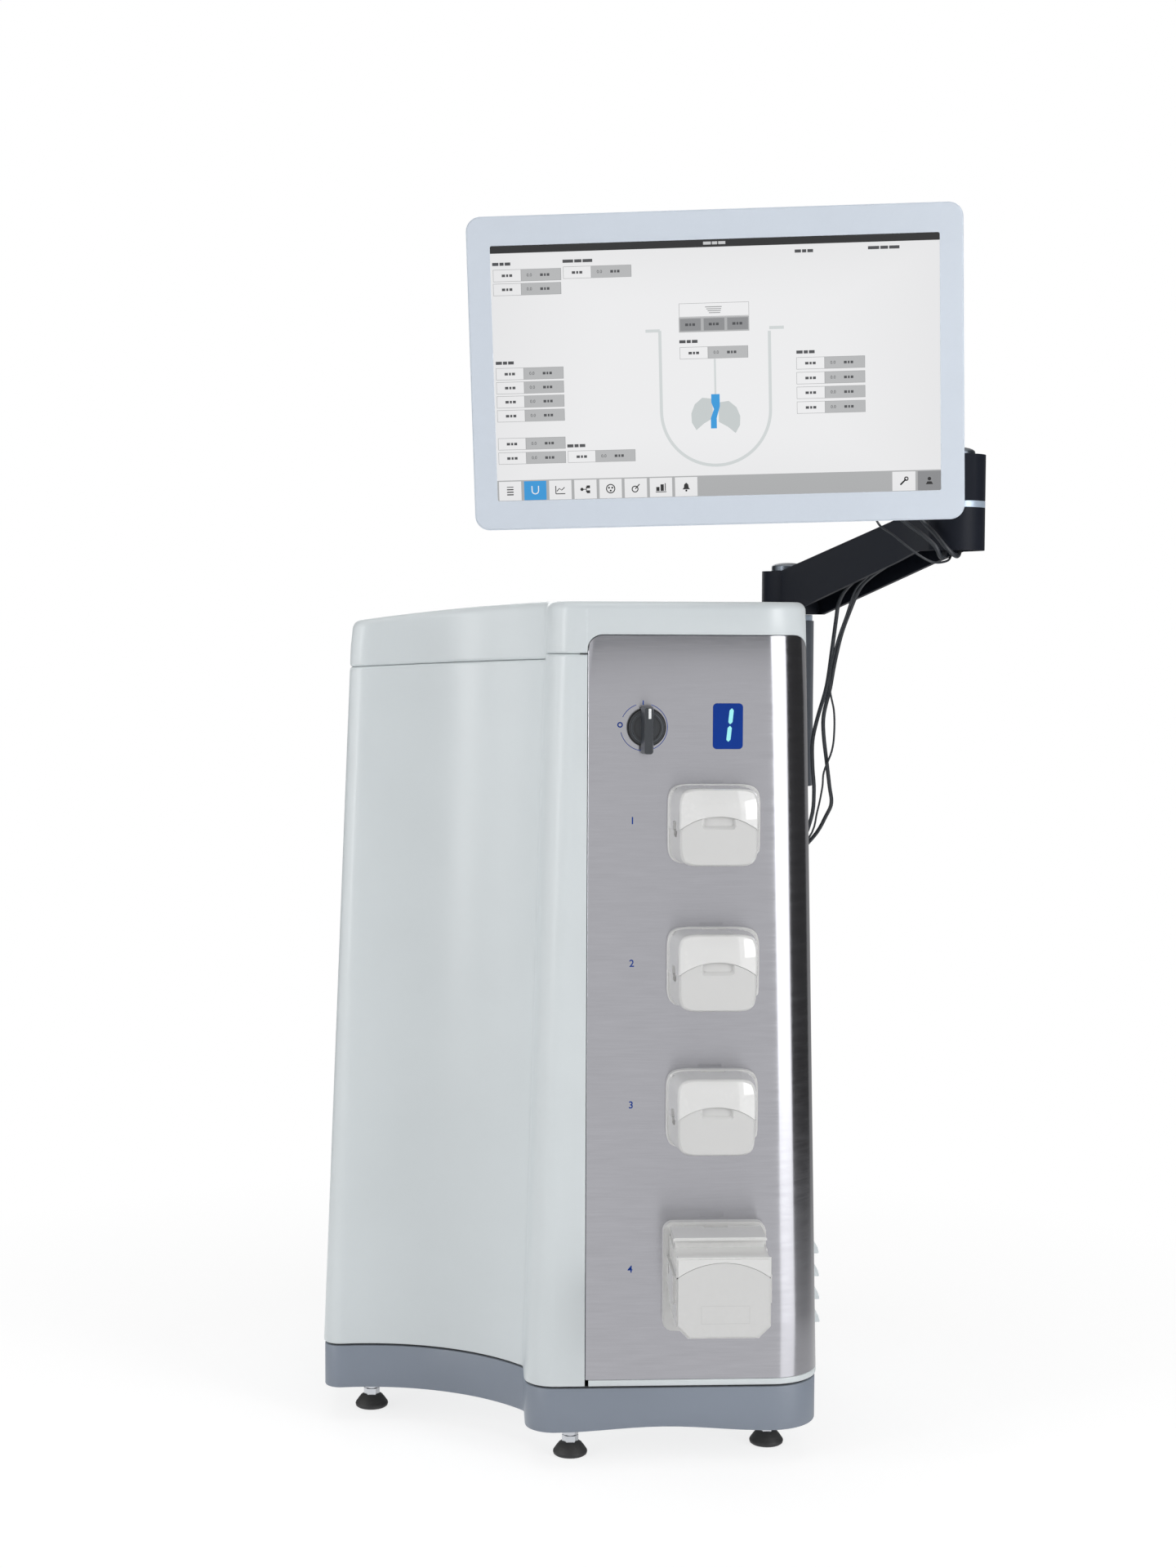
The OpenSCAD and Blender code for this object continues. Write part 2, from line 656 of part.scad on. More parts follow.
module switch_bezel() color([0.10, 0.10, 0.11]) at_switch()
    difference() {
        union() {
            rod(switch_bezel_r, -switch_bezel_t, 0);
            rod(switch_neck_d / 2, -1, switch_nut_y);
        }
        rod(shaft_r + running, -switch_bezel_t - 1, switch_nut_y + 1);
    }

module switch_block() color([0.13, 0.14, 0.16]) at_switch()
    difference() {
        translate([-20, switch_nut_y, -24]) cube([40, 36, 48]);
        rod(shaft_r + running, switch_nut_y - 1, switch_nut_y + 18);
        for (x = [-11, 0, 11], z = [-18, 18]) translate([x, 0, z]) rod(2.2, switch_nut_y + 30, switch_nut_y + 37);
    }

module switch_knob() color([0.17, 0.19, 0.21]) at_switch() {
    rod(knob_d / 2, knob_disc_y, -switch_bezel_t - knob_gap);
    difference() {
        rod(knob_d / 2 - 2.5, knob_step_y, knob_disc_y + 0.5);
        rod(knob_d / 2 - 4, knob_step_y - 1, knob_step_y + 1);
    }
    translate([0, 0, -2]) hull() {
        translate([0, knob_step_y, 0]) upright(knob_bar_w, knob_bar_l, 2.5, 1);
        translate([0, knob_bar_y, 0]) upright(knob_bar_w - knob_taper, knob_bar_l - 1.5, 2, 1);
    }
    rod(shaft_r, knob_step_y, switch_nut_y + 16);
}

window_r = 3.5;
window_lap = 3;
digit_y = 0.2;
digit_d = 8;
module display_window() color([0.05, 0.20, 0.55])
    translate([window_x, -window_t, window_z]) upright(window_w, window_h, window_r, window_t);

module digit_display() color([0.08, 0.10, 0.12]) translate([window_x, 0, window_z]) {
    translate([0, digit_y, 0])
        upright(window_w - 2 * window_lap - 2 * seat, window_h - 2 * window_lap - 2 * seat, 1, digit_d);
    translate([0, digit_y + digit_d, 0]) upright(window_w + 10, window_h + 12, 2, 1.6);
    for (x = [-1, 1], z = [-1, 1]) translate([x * (window_w / 2 + 2), 0, z * (window_h / 2 + 3)])
        rod(2, steel_t, digit_y + digit_d + 0.5);
}

// ---------- Pumps ----------

drive_r = 4;
gear_boss_r = 9;
drive_end = 19;
hinge_pin_r = 1.5;
module at_pump(i) translate([pump_x, 0, pump_z - i * pump_pitch]) children();
module at_big() translate([big_x, 0, big_z]) children();
module across(r, x0, x1) rotate([0, 90, 0]) translate([0, 0, x0]) cylinder(r = r, h = x1 - x0);

// How square a bowed outline's corners are, from 1 for an ellipse towards 0
squareness = 0.32;
// Rounded oblong with bowed sides, w wide and h high
function bowed(w, h) = [
    for (i = [0:47]) let (c = cos(7.5 * i), s = sin(7.5 * i))
        [w / 2 * sign(c) * pow(abs(c), squareness), h / 2 * sign(s) * pow(abs(s), squareness)]
];
// A loft towards the front through [depth, width, height]
module bowed_loft(levels) rotate([90, 0, 0])
    prism([for (l = levels) [for (p = bowed(l[1], l[2])) [p.x, p.y, l[0]]]]);

pump_plate_t = 8;
pump_wall = 2.5;
cover_step = 0.7;
arch_r = 53;
arch_top = 9.5;
arch_end = -3.5;
cover_back = pump_plate_t + 0.8;
pivot = [0, -13.6, pump_h / 2 - 4.3];
lug_w = 20;
lug_t = 3.6;
knuckle_w = 9;
knuckle_gap = 0.4;
track = 2.5;
rotor_front = 42;
chamber_front = 44;

module pump_envelope(inset) bowed_loft([
    [pump_plate_t, pump_w - 2 - 2 * inset, pump_h - 2 * inset],
    [pump_d - 4 - inset, pump_front_w + 2 - 2 * inset, pump_h - 0.4 - 2 * inset],
    [pump_d - 1.2 - inset, pump_front_w + 0.5 - 2 * inset, pump_h - 2 - 2 * inset],
    [pump_d - inset, pump_front_w - 2 - 2 * inset, pump_h - 4.5 - 2 * inset]
]);
// Everything under the arch that parts the housing from its cover, grown by gap
module under_arch(gap) {
    translate([0, 0, arch_top - arch_r]) rod(arch_r + gap, -pump_d - 5, 5);
    translate([-pump_w, -pump_d - 5, -pump_h]) cube([2 * pump_w, pump_d + 10, pump_h + arch_end + gap]);
}
// A body's hinge lug with its pin, on the hinge's axis, reaching back by l
module lug(l) {
    across(lug_t / 2 + 0.2, -lug_w / 2, lug_w / 2);
    across(hinge_pin_r, -lug_w / 2 - knuckle_w, lug_w / 2 + knuckle_w);
    translate([-lug_w / 2, 0, -lug_t / 2]) cube([lug_w, l + 0.5, lug_t]);
}
// The notch in a cover that lets it swing past the lug
module lug_room() translate([-lug_w / 2 - knuckle_gap, -lug_t / 2 - 0.5, -lug_t / 2 - 0.5])
    cube([lug_w + 2 * knuckle_gap, pump_d, pump_h]);
// What a cover hinged at p lacks at its heel, to swing clear of the edge at height z
module heel(p, z) difference() {
    translate([-big_w, p.y, z - 1]) cube([2 * big_w, pump_d, 4]);
    translate(p) across(p.z - z - seat, -big_w, big_w);
}
// The ports through which the tubing enters at both flanks
module tube_ports() for (s = [-1, 1]) translate([s * (rotor_d / 2 + pump_w / 4), -30, -2.1]) rotate([0, 90, 0])
    translate([0, 0, -pump_w / 4]) linear_extrude(pump_w / 2) rounded(13.8, 12, 3);
module chamfer_cut() translate([pump_w / 2 - 4, -pump_d - 5, -pump_h / 2 + 4]) rotate([0, 45, 0])
    translate([-2, 0, -20]) cube([20, pump_d + 10, 40]);

module small_body(i) color([0.90, 0.91, 0.91]) at_pump(i)
    difference() {
        union() {
            bowed_loft([[0, pump_w, pump_h + 1], [pump_plate_t - 1, pump_w, pump_h + 1], [pump_plate_t, pump_w - 2, pump_h - 1]]);
            difference() {
                intersection() {
                    pump_envelope(cover_step);
                    under_arch(0);
                }
                rod(rotor_d / 2 + track, -chamber_front, -pump_plate_t);
                translate([-rotor_d / 2 - track, -chamber_front, 0])
                    cube([rotor_d + 2 * track, chamber_front - pump_plate_t, pump_h]);
            }
            translate(pivot) lug(-pivot.y - pump_plate_t);
        }
        rod(drive_r + running, -pump_plate_t - 1, 1);
        tube_ports();
        chamfer_cut();
        finger_pocket();
    }

pocket_d = 3.5;
module finger_pocket() rotate([90, 0, 0]) prism([
    for (l = [[pump_d - pocket_d, 25, 1.5], [pump_d + 1, 31, -3.2]]) [
        for (p = [[-l[1] / 2, l[2] + 2], [-l[1] / 2 + 2, l[2]], [l[1] / 2 - 2, l[2]], [l[1] / 2, l[2] + 2],
                  [l[1] / 2 - 1, 20], [-l[1] / 2 + 1, 20]]) [p.x, p.y, l[0]]
    ]
]);

module small_cover(i) color([0.92, 0.93, 0.93]) at_pump(i)
    difference() {
        union() {
            difference() {
                pump_envelope(0);
                pump_envelope(pump_wall);
                translate([-pump_w, -cover_back, -pump_h]) cube([2 * pump_w, pump_d, 2 * pump_h]);
                under_arch(seat);
                heel(pivot, arch_end);
                tube_ports();
                difference() {
                    translate([-pump_w, pivot.y, pivot.z]) cube([2 * pump_w, pump_d, pump_h]);
                    translate(pivot) across(-pivot.y - cover_back, -pump_w, pump_w);
                }
            }
            for (s = [-1, 1]) translate(pivot)
                across(2.6, s * (lug_w / 2 + knuckle_gap + knuckle_w / 2) - knuckle_w / 2,
                       s * (lug_w / 2 + knuckle_gap + knuckle_w / 2) + knuckle_w / 2);
        }
        translate(pivot) {
            across(hinge_pin_r + running, -pump_w, pump_w);
            lug_room();
        }
    }

// A rotor before a wall back thick: two discs, three rollers on the hub, and the drive shaft
module rotor(r, roller, front, back) {
    rod(r - 2, -front, -front + 3);
    rod(r - 2, -back - 5, -back - 2);
    rod(2 * drive_r, -front - 1, -back - 1.5);
    for (a = [90, 210, 330]) rotate([0, a, 0]) translate([r - roller, 0, 0]) rod(roller, -front + 1, -back - 3);
    rod(drive_r, -front, drive_end - 1);
}
module small_rotor(i) color([0.30, 0.32, 0.35]) at_pump(i) rotor(rotor_d / 2, 5, rotor_front, pump_plate_t);

// A geared motor behind the panel, its boss against the pump's back plate
module motor(gear_w, gear_l, motor_r, motor_l)
    difference() {
        union() {
            rod(gear_boss_r, 0, steel_t + seat + 0.5);
            translate([0, steel_t + seat, 0]) upright(gear_w, gear_w, 3, gear_l);
            rod(motor_r, steel_t + seat + gear_l - 0.5, steel_t + seat + gear_l + motor_l);
            rod(motor_r * 0.3, steel_t + seat + gear_l + motor_l - 0.5, steel_t + seat + gear_l + motor_l + 3);
        }
        rod(drive_r + running, -1, drive_end);
    }
module small_motor(i) color([0.25, 0.26, 0.28]) at_pump(i) motor(42, 24, 19, 60);

// The large pump
flange_t = 10;
flange_r = 9;
neck_y = 56;
visor_top = big_h / 2 - 2;
head_top = 37;
head_bottom = -32;
head_wall = 3;
big_arch_top = 32.5;
big_arch_end = 19;
big_arch_r = (pow(big_front_w / 2, 2) + pow(big_arch_top - big_arch_end, 2)) / 2 / (big_arch_top - big_arch_end);
big_pivot = [0, -16.5, visor_top - 5.5];
big_cover_back = flange_t + 0.8;
big_chamber_front = big_d - 6;
head_chamfer = 10;
tab_t = 2;
lip_t = 2.6;
neck_inset = 3.5;

module under_big_arch(gap) intersection() {
    translate([0, 0, big_arch_top - big_arch_r]) rod(big_arch_r + gap, -big_d - 5, 5);
    translate([-big_w, -big_d - 5, big_arch_end - eps]) cube([2 * big_w, big_d + 10, big_h]);
}
module head_outline(inset) {
    w = big_front_w / 2 - inset;
    z = head_bottom + inset;
    polygon([
        [-w, big_h], [-w, z + head_chamfer], [-w + head_chamfer, z], [w - head_chamfer, z], [w, z + head_chamfer],
        [w, big_h]
    ]);
}
// The head's block from depth y0 to y1, between heights z0 and z1
module head_block(y0, y1, z0, z1, inset) intersection() {
    rotate([90, 0, 0]) translate([0, 0, y0]) linear_extrude(y1 - y0) head_outline(inset);
    translate([-big_w, -y1 - 1, z0]) cube([2 * big_w, y1 - y0 + 2, z1 - z0]);
}

module big_body() color([0.90, 0.91, 0.91]) at_big()
    difference() {
        union() {
            translate([0, -flange_t + 1, 0]) upright(big_w, big_h, flange_r, flange_t - 1);
            translate([0, -flange_t, 0]) upright(big_w - 2, big_h - 2, flange_r - 1, flange_t - 0.5);
            head_block(flange_t - 1, big_d - 1.5, head_bottom - 1, big_arch_end, 0);
            head_block(flange_t - 1, big_d, head_bottom - 1, big_arch_end, 1.5);
            intersection() {
                head_block(big_chamber_front - 4, big_d, big_arch_end - 1, head_top, 1.5);
                under_big_arch(0);
            }
            for (s = [-1, 1]) translate([s * big_front_w / 2, 0, 0])
                translate([-tab_t, -big_d + 12, -5]) cube([2 * tab_t, big_d - 22, big_arch_end + 5]);
            translate(big_pivot) lug(-big_pivot.y - flange_t);
        }
        rod(drive_r + running, -flange_t - 1, 1);
        rod(big_rotor_d / 2 + track, -big_chamber_front, -flange_t);
        translate([-big_rotor_d / 2 - track, -big_chamber_front, 0])
            cube([big_rotor_d + 2 * track, big_chamber_front - flange_t - 1, big_arch_end + 1]);
        for (s = [-1, 1]) translate([0, -30, big_arch_end - 6]) rotate([0, 90 * s, 0])
            translate([0, 0, big_rotor_d / 2]) cylinder(r = 4.5, h = big_w);
    }

module big_cover() color([0.92, 0.93, 0.93]) at_big()
    difference() {
        union() {
            difference() {
                union() {
                    head_block(big_cover_back, big_d - 1.5, big_arch_end + seat, head_top, 0);
                    head_block(big_cover_back, big_d, big_arch_end + seat, head_top - 1.5, 1.5);
                    head_block(big_cover_back, neck_y - neck_inset, head_top - 1, visor_top - 1, neck_inset / 2);
                    head_block(big_cover_back, neck_y, visor_top - lip_t, visor_top - 0.7, 0);
                    head_block(big_cover_back, neck_y - 0.7, visor_top - lip_t, visor_top, 0.7);
                }
                head_block(0, big_d - head_wall, big_arch_end - 1, head_top - head_wall, head_wall + 1);
                head_block(0, neck_y - neck_inset - head_wall, head_top - head_wall - 1, visor_top - head_wall,
                           head_wall + neck_inset / 2);
                under_big_arch(seat);
                heel(big_pivot, big_arch_end);
                // Side hollows between the lip and the front block
                for (s = [-1, 1]) translate([s * big_front_w / 2, -(neck_y + big_d) / 2, head_top]) across(14, -1.4, 1.4);
                difference() {
                    translate([-big_w, big_pivot.y, big_pivot.z]) cube([2 * big_w, big_d, big_h]);
                    translate(big_pivot) across(-big_pivot.y - big_cover_back, -big_w, big_w);
                }
            }
            for (s = [-1, 1]) translate(big_pivot)
                across(2.8, s * (lug_w / 2 + knuckle_gap + knuckle_w / 2) - knuckle_w / 2,
                       s * (lug_w / 2 + knuckle_gap + knuckle_w / 2) + knuckle_w / 2);
        }
        translate(big_pivot) {
            across(hinge_pin_r + running, -big_w, big_w);
            lug_room();
        }
    }

module big_rotor() color([0.30, 0.32, 0.35]) at_big()
    rotor(big_rotor_d / 2, 6, big_chamber_front - 2, flange_t);
module big_motor() color([0.25, 0.26, 0.28]) at_big() motor(56, 30, 26, 80);

// ---------- Pole and arms ----------

pole_y = cabinet_d + pole_back;
pivot_r = pivot_d / 2;
stub_r = 5;
stub_h = 12;
arm_z = pole_top + pole_washer_h + seat;
pivot_top = arm_z + hub_h + seat;
module at_pole() translate([pole_x, pole_y, 0]) children();

module pole() color([0.55, 0.57, 0.60]) at_pole()
    difference() {
        union() {
            translate([0, 0, pole_z]) cylinder(d = pole_d, h = pole_top - pole_z);
            translate([0, 0, pole_top - 1]) cylinder(r = pivot_r, h = pivot_top - pole_top + 1);
        }
        translate([0, 0, pole_z - 1]) cylinder(d = pole_d - 6, h = pole_top - pole_z - 24);
        translate([0, 0, pivot_top - stub_h - 1]) cylinder(r = stub_r + running, h = stub_h + 2);
    }

bracket_t = 6;
module pole_bracket() color([0.60, 0.62, 0.65])
    difference() {
        union() {
            translate([(bracket_bolts[0].x + bracket_bolts[3].x) / 2, cabinet_d, (bracket_z0 + bracket_z1) / 2])
                upright(58, bracket_z1 - bracket_z0, 6, bracket_t);
            for (z = [bracket_z0 + 4, (bracket_z0 + bracket_z1) / 2 - 5, bracket_z1 - 14])
                translate([168, cabinet_d, z]) cube([30, bracket_t + 34, 10]);
            translate([168, cabinet_d, bracket_z0 + 4]) cube([6, bracket_t + 34, bracket_z1 - bracket_z0 - 8]);
            intersection() {
                translate([pole_x, pole_y, bracket_z0]) cylinder(d = pole_d + 12, h = bracket_z1 - bracket_z0);
                translate([pole_x - pole_d, pole_y - pole_d, bracket_z0])
                    cube([pole_d, 2 * pole_d, bracket_z1 - bracket_z0]);
            }
        }
        translate([pole_x, pole_y, bracket_z0 - 1]) cylinder(d = pole_d, h = bracket_z1 - bracket_z0 + 2);
        for (b = bracket_bolts) translate([b.x, 0, b.y]) rod(bolt_r + running, cabinet_d - 1, cabinet_d + bracket_t + 1);
    }

// A flat ring, its hole a running fit on a shaft
module washer(r, shaft, h) difference() {
    cylinder(r = r, h = h);
    translate([0, 0, -1]) cylinder(r = shaft + running, h = h + 2);
}
module pole_washer() color([0.72, 0.77, 0.82]) at_pole()
    translate([0, 0, pole_top]) washer(hub_d / 2 - 1, pivot_r, pole_washer_h);

cap_rim_h = 4.5;
cap_dome_h = 4;
// A round cap with a domed top
module domed(r, rim, h) rotate_extrude() polygon(concat(
    [[0, 0], [r, 0], [r, rim]],
    [for (a = [15:15:90]) [r * cos(a), rim + h * sin(a)]]
));
module pole_cap() color([0.35, 0.37, 0.40]) at_pole() {
    translate([0, 0, pivot_top]) domed(17, cap_rim_h, cap_dome_h);
    translate([0, 0, pivot_top - stub_h]) cylinder(r = stub_r, h = stub_h + 1);
}

// An arm's outline from above: round at its far end, or at both ends
module arm_plan(l, both, inset) {
    r = hub_d / 2 - inset;
    w = beam_w / 2 - inset;
    translate([l, 0]) circle(r);
    translate([28 + inset, -w]) square([l - 28 - inset, 2 * w]);
    polygon([[l - 70, -w], [l + 2, -r + 0.1], [l + 2, r - 0.1], [l - 70, w]]);
    if (both) {
        circle(r);
        polygon([[70, w], [-2, r - 0.1], [-2, -r + 0.1], [70, -w]]);
    }
}
// An arm's side view, rising from a hub h0 high to a hub h1 high
module arm_side(l, rise, h0, h1) rotate([90, 0, 0]) translate([0, 0, -hub_d]) linear_extrude(2 * hub_d) polygon([
    [-hub_d, 0], [40, 0], [l - 26, rise], [l + hub_d, rise], [l + hub_d, rise + h1], [l - 26, rise + h1],
    [28, h0], [-hub_d, h0]
]);
// The hollow of an arm, open below, between its hubs
module arm_channel(l, rise, h0, h1, s0) intersection() {
    translate([0, 0, -1]) linear_extrude(rise + h1 + 2) intersection() {
        arm_plan(l, false, arm_wall);
        translate([s0, -hub_d]) square([l - s0, 2 * hub_d]);
    }
    rotate([90, 0, 0]) translate([0, 0, -hub_d]) linear_extrude(2 * hub_d) polygon([
        [s0, -2], [l, -2], [l, rise + 0.35 * h1], [l - 24, rise + 0.35 * h1], [l - 34, rise + h1 - arm_wall - 2],
        [s0, h0 - arm_wall]
    ]);
}

lower_h1 = elbow_h;
elbow_x = pole_x + lower_l * sin(lower_turn);
elbow_y = pole_y - lower_l * cos(lower_turn);
lower_top = arm_z + lower_rise + lower_h1;
elbow_z = lower_top + elbow_washer_h + seat;
elbow_hub_h = 41;
elbow_shank_r = 10;
cavity_h = 14;
module lower_arm() color([0.16, 0.18, 0.20]) translate([pole_x, pole_y, arm_z]) rotate([0, 0, lower_turn - 90])
    difference() {
        union() {
            cylinder(d = hub_d, h = hub_h);
            intersection() {
                linear_extrude(lower_top - arm_z) arm_plan(lower_l, false, 0);
                arm_side(lower_l, lower_rise, hub_h, lower_h1);
            }
            translate([20, -beam_w / 2 + 4, 0]) cube([12, beam_w - 8, hub_h - 2]);
        }
        arm_channel(lower_l, lower_rise, hub_h, lower_h1, 34);
        translate([lower_l, 0, 0]) cylinder(r = hub_d / 2 - arm_wall, h = lower_rise + cavity_h);
        translate([lower_l, 0, 0]) cylinder(r = elbow_shank_r + running, h = lower_top);
        translate([0, 0, -1]) cylinder(r = pivot_r + running, h = hub_h + 2);
    }

module elbow_washer() color([0.72, 0.77, 0.82])
    translate([elbow_x, elbow_y, lower_top]) washer(hub_d / 2, elbow_shank_r, elbow_washer_h);

module elbow_bolt() color([0.30, 0.32, 0.35]) translate([elbow_x, elbow_y, 0]) {
    translate([0, 0, elbow_z + elbow_hub_h + seat]) domed(17, 2, 5);
    translate([0, 0, lower_top - lower_h1 + cavity_h]) cylinder(r = elbow_shank_r, h = elbow_z + elbow_hub_h + 1 - lower_top + lower_h1 - cavity_h);
}

head_hub_h = 38;
stud_r = 8;
stud_l = 30;
upper_angle = 180 + upper_turn;
head_x = elbow_x + upper_l * cos(upper_angle);
head_y = elbow_y + upper_l * sin(upper_angle);
head_z = elbow_z + upper_rise + head_hub_h;
module upper_arm() color([0.16, 0.18, 0.20]) translate([elbow_x, elbow_y, elbow_z]) rotate([0, 0, upper_angle])
    difference() {
        intersection() {
            linear_extrude(upper_rise + head_hub_h) arm_plan(upper_l, true, 0);
            arm_side(upper_l, upper_rise, elbow_hub_h, head_hub_h);
        }
        arm_channel(upper_l, upper_rise, elbow_hub_h, head_hub_h, 34);
        translate([0, 0, -1]) cylinder(r = elbow_shank_r + running, h = elbow_hub_h + 2);
        translate([upper_l, 0, 0]) cylinder(r = stud_r + running, h = head_z);
        // Set-screw hole in the elbow's hub, facing the front
        rotate([0, 0, -upper_angle - 110]) translate([elbow_shank_r, 0, elbow_hub_h - 12])
            rotate([0, 90, 0]) cylinder(r = 2.5, h = hub_d);
    }

// ---------- Monitor head ----------

tilt_z = 16.2;
axle_r = 5;
ear_r = 14;
ear_x = 15;
ear_t = 6;
swivel_r = 20;
swivel_h = 32.7;
module at_head() translate([head_x, head_y, head_z + seat]) rotate([0, 0, -monitor_yaw]) children();
module at_tilt() at_head() translate([0, -head_reach, tilt_z]) children();

module head_swivel() color([0.14, 0.15, 0.17]) difference() {
    union() {
        at_head() {
            cylinder(r = swivel_r, h = swivel_h);
            translate([0, 0, -stud_l]) cylinder(r = stud_r, h = stud_l + 1);
            translate([-ear_x - ear_t, -head_reach + ear_r, 0]) cube([2 * (ear_x + ear_t), 8, swivel_h]);
        }
        for (s = [-1, 1]) at_tilt() {
            across(ear_r, s * (ear_x + ear_t / 2) - ear_t / 2, s * (ear_x + ear_t / 2) + ear_t / 2);
            translate([s * (ear_x + ear_t / 2) - ear_t / 2, 0, -ear_r]) cube([ear_t, ear_r + 4, 2 * ear_r]);
        }
    }
    at_tilt() across(axle_r + running, -50, 50);
}

flange_y = 17;
roll_r = 8;
module at_lean() at_tilt() rotate([monitor_lean, 0, 0]) children();
module tilt_knuckle() color([0.20, 0.22, 0.24]) at_lean() {
    across(12, -ear_x + seat, ear_x - seat);
    across(axle_r, -ear_x - ear_t - 2, ear_x + ear_t + 2);
    rod(9, -flange_y - 1, 0);
    rod(16, -flange_y - 4.7, -flange_y);
    rod(roll_r, -tilt_reach + 0.5, -flange_y - 4);
}

module at_monitor() at_lean() rotate([0, -monitor_roll, 0]) translate([0, -tilt_reach - monitor_d, 0]) children();
vesa_t = 4;
vesa_screw_r = 2;
module vesa_screws() for (x = [-1, 1], z = [-1, 1]) translate([x * vesa / 2, 0, z * vesa / 2]) children();
module vesa_plate() color([0.14, 0.15, 0.17]) at_monitor() difference() {
    union() {
        translate([0, monitor_d, 0]) upright(vesa + 16, vesa + 16, 6, vesa_t);
        rod(16, monitor_d + vesa_t - 1, monitor_d + vesa_t + 8);
        vesa_screws() {
            rod(vesa_screw_r, monitor_d - 8, monitor_d + 1);
            rod(4, monitor_d + vesa_t - 0.5, monitor_d + vesa_t + 2.4);
        }
    }
    rod(roll_r + running, monitor_d - 1, monitor_d + vesa_t + 9);
}

back_step = 26;
hump_w = 230;
hump_h = 150;
module monitor_back() color([0.80, 0.84, 0.87]) at_monitor() difference() {
    union() {
        translate([0, bezel_d, 0]) upright(monitor_w - 3, monitor_h - 3, monitor_r - 1.5, back_step - bezel_d - 3);
        translate([0, bezel_d, 0]) upright(monitor_w - 9, monitor_h - 9, monitor_r - 3, back_step - bezel_d);
        translate([0, bezel_d, 0]) upright(hump_w, hump_h, 12, monitor_d - bezel_d - 2);
        translate([0, bezel_d, 0]) upright(hump_w - 4, hump_h - 4, 10, monitor_d - bezel_d);
    }
    difference() {
        union() {
            translate([0, bezel_d - 1, 0]) upright(monitor_w - 15, monitor_h - 15, 6, back_step - bezel_d - 2);
            translate([0, bezel_d - 1, 0]) upright(hump_w - 10, hump_h - 10, 7, monitor_d - bezel_d - 2);
        }
        vesa_screws() rod(6, bezel_d, monitor_d);
    }
    vesa_screws() rod(vesa_screw_r + running, monitor_d - 9, monitor_d + 1);
    // Rows of cooling slots above and below the screws
    for (z = [-1, 1], i = [-7:7]) translate([i * 12, monitor_d - 4, z * 66]) upright(3, 10, 1.4, 5);
}

glass_y = 0.6;
ledge = 4;
module monitor_bezel() color([0.83, 0.86, 0.89]) at_monitor() difference() {
    union() {
        translate([0, 1, 0]) upright(monitor_w, monitor_h, monitor_r, bezel_d - 1);
        upright(monitor_w - 2, monitor_h - 2, monitor_r - 1, 2);
    }
    translate([0, -1, 0]) upright(glass_w, glass_h, 1.5, 1 + glass_y + glass_t);
    upright(glass_w - 2 * ledge, glass_h - 2 * ledge, 1, bezel_d + 1);
}
module touch_screen() color([0.10, 0.11, 0.12]) at_monitor() {
    translate([0, glass_y, 0]) upright(glass_w - 2 * seat, glass_h - 2 * seat, 1.2, glass_t);
    translate([0, glass_y + glass_t - eps, 0])
        upright(glass_w - 2 * ledge - 2 * seat, glass_h - 2 * ledge - 2 * seat, 0.8, bezel_d - glass_y - glass_t - 0.5);
}

// ---------- Cables ----------

cable_d = 4;
thin_d = 2;
gland_end = panel_plate_y + panel_plate_t + 14;
a_drop = [
    [319.8, 104.8, 812.5], [303, 168, 814], [290, 208, 802], [277, 247, 789], [267, 281, 776], [262, 299, 762], [260, 304, 744], [258, 314, 716],
    [255, 328, 679], [248, 340, 647], [244.6, 350, 623], [246, 358, 597], [249, 367, 572], [249, 384, 543],
    [238, 402, 512], [205, 416, 490], [150, 418, 478], [112, 414, 475], [98, 404, 475], [95, gland_end, 475]
];
b_drop = [
    [335.7, 106.7, 812.5], [311, 166, 814], [298, 203, 800], [284, 238, 787], [276, 260, 775], [267, 268, 751], [261, 278, 729], [257, 292, 701],
    [255, 304, 678], [251, 318, 651], [253, 331, 630], [259, 347, 600], [264, 361, 576], [268, 374, 559],
    [265, 388, 545], [253, 404, 520], [220, 424, 486], [160, 428, 465], [112, 420, 457], [98, 406, 457],
    [95, gland_end, 457]
];
c_drop = [
    [327.7, 106.7, 812.5], [307, 166, 809], [288, 195, 801], [279, 228, 787], [271, 254, 774], [264, 266, 748.5], [257.5, 276, 725],
    [253, 289, 698], [254, 298, 676], [260.5, 314, 655], [263, 327, 633], [262, 335, 614], [256, 347, 592],
    [257, 364, 575], [255, 384, 549], [247, 392, 520], [205, 396, 470], [140, 412, 452], [108, 408, 440],
    [97, 400, 439], [95, gland_end, 439]
];
a_loop = [
    [228, 22, 874], [246, 36, 862], [262, 50, 850], [273, 58, 840], [284.5, 60, 831], [298, 52, 820], [308, 46, 810],
    [314, 52, 801], [320, 66, 802], [323, 84, 810], [320, 104, 812.5]
];
b_loop = [
    [234, 12, 876], [258, 32, 862], [282, 52, 849], [294, 64, 840], [303, 70, 831], [312, 62, 820], [319, 56, 810],
    [328, 60, 802.5], [334, 72, 803], [338, 88, 810], [336, 106, 812.5]
];
c_loop = [
    [238, 6, 876], [246, 22, 862], [252, 40, 848], [255, 54, 838], [261, 58, 828], [271, 50, 820], [281, 44, 811],
    [293, 42, 802], [306, 46, 796], [318, 56, 796.5], [326, 70, 800], [330, 88, 808], [328, 106, 812.5]
];
module cable(p, d) color([0.12, 0.13, 0.15]) tube(smooth(p, 2), d);
module cable_a_drop() cable(a_drop, cable_d);
module cable_b_drop() cable(b_drop, cable_d);
module cable_c_drop() cable(c_drop, thin_d);
module cable_a_loop() cable(a_loop, cable_d);
module cable_b_loop() cable(b_loop, cable_d);
module cable_c_loop() cable(c_loop, thin_d);

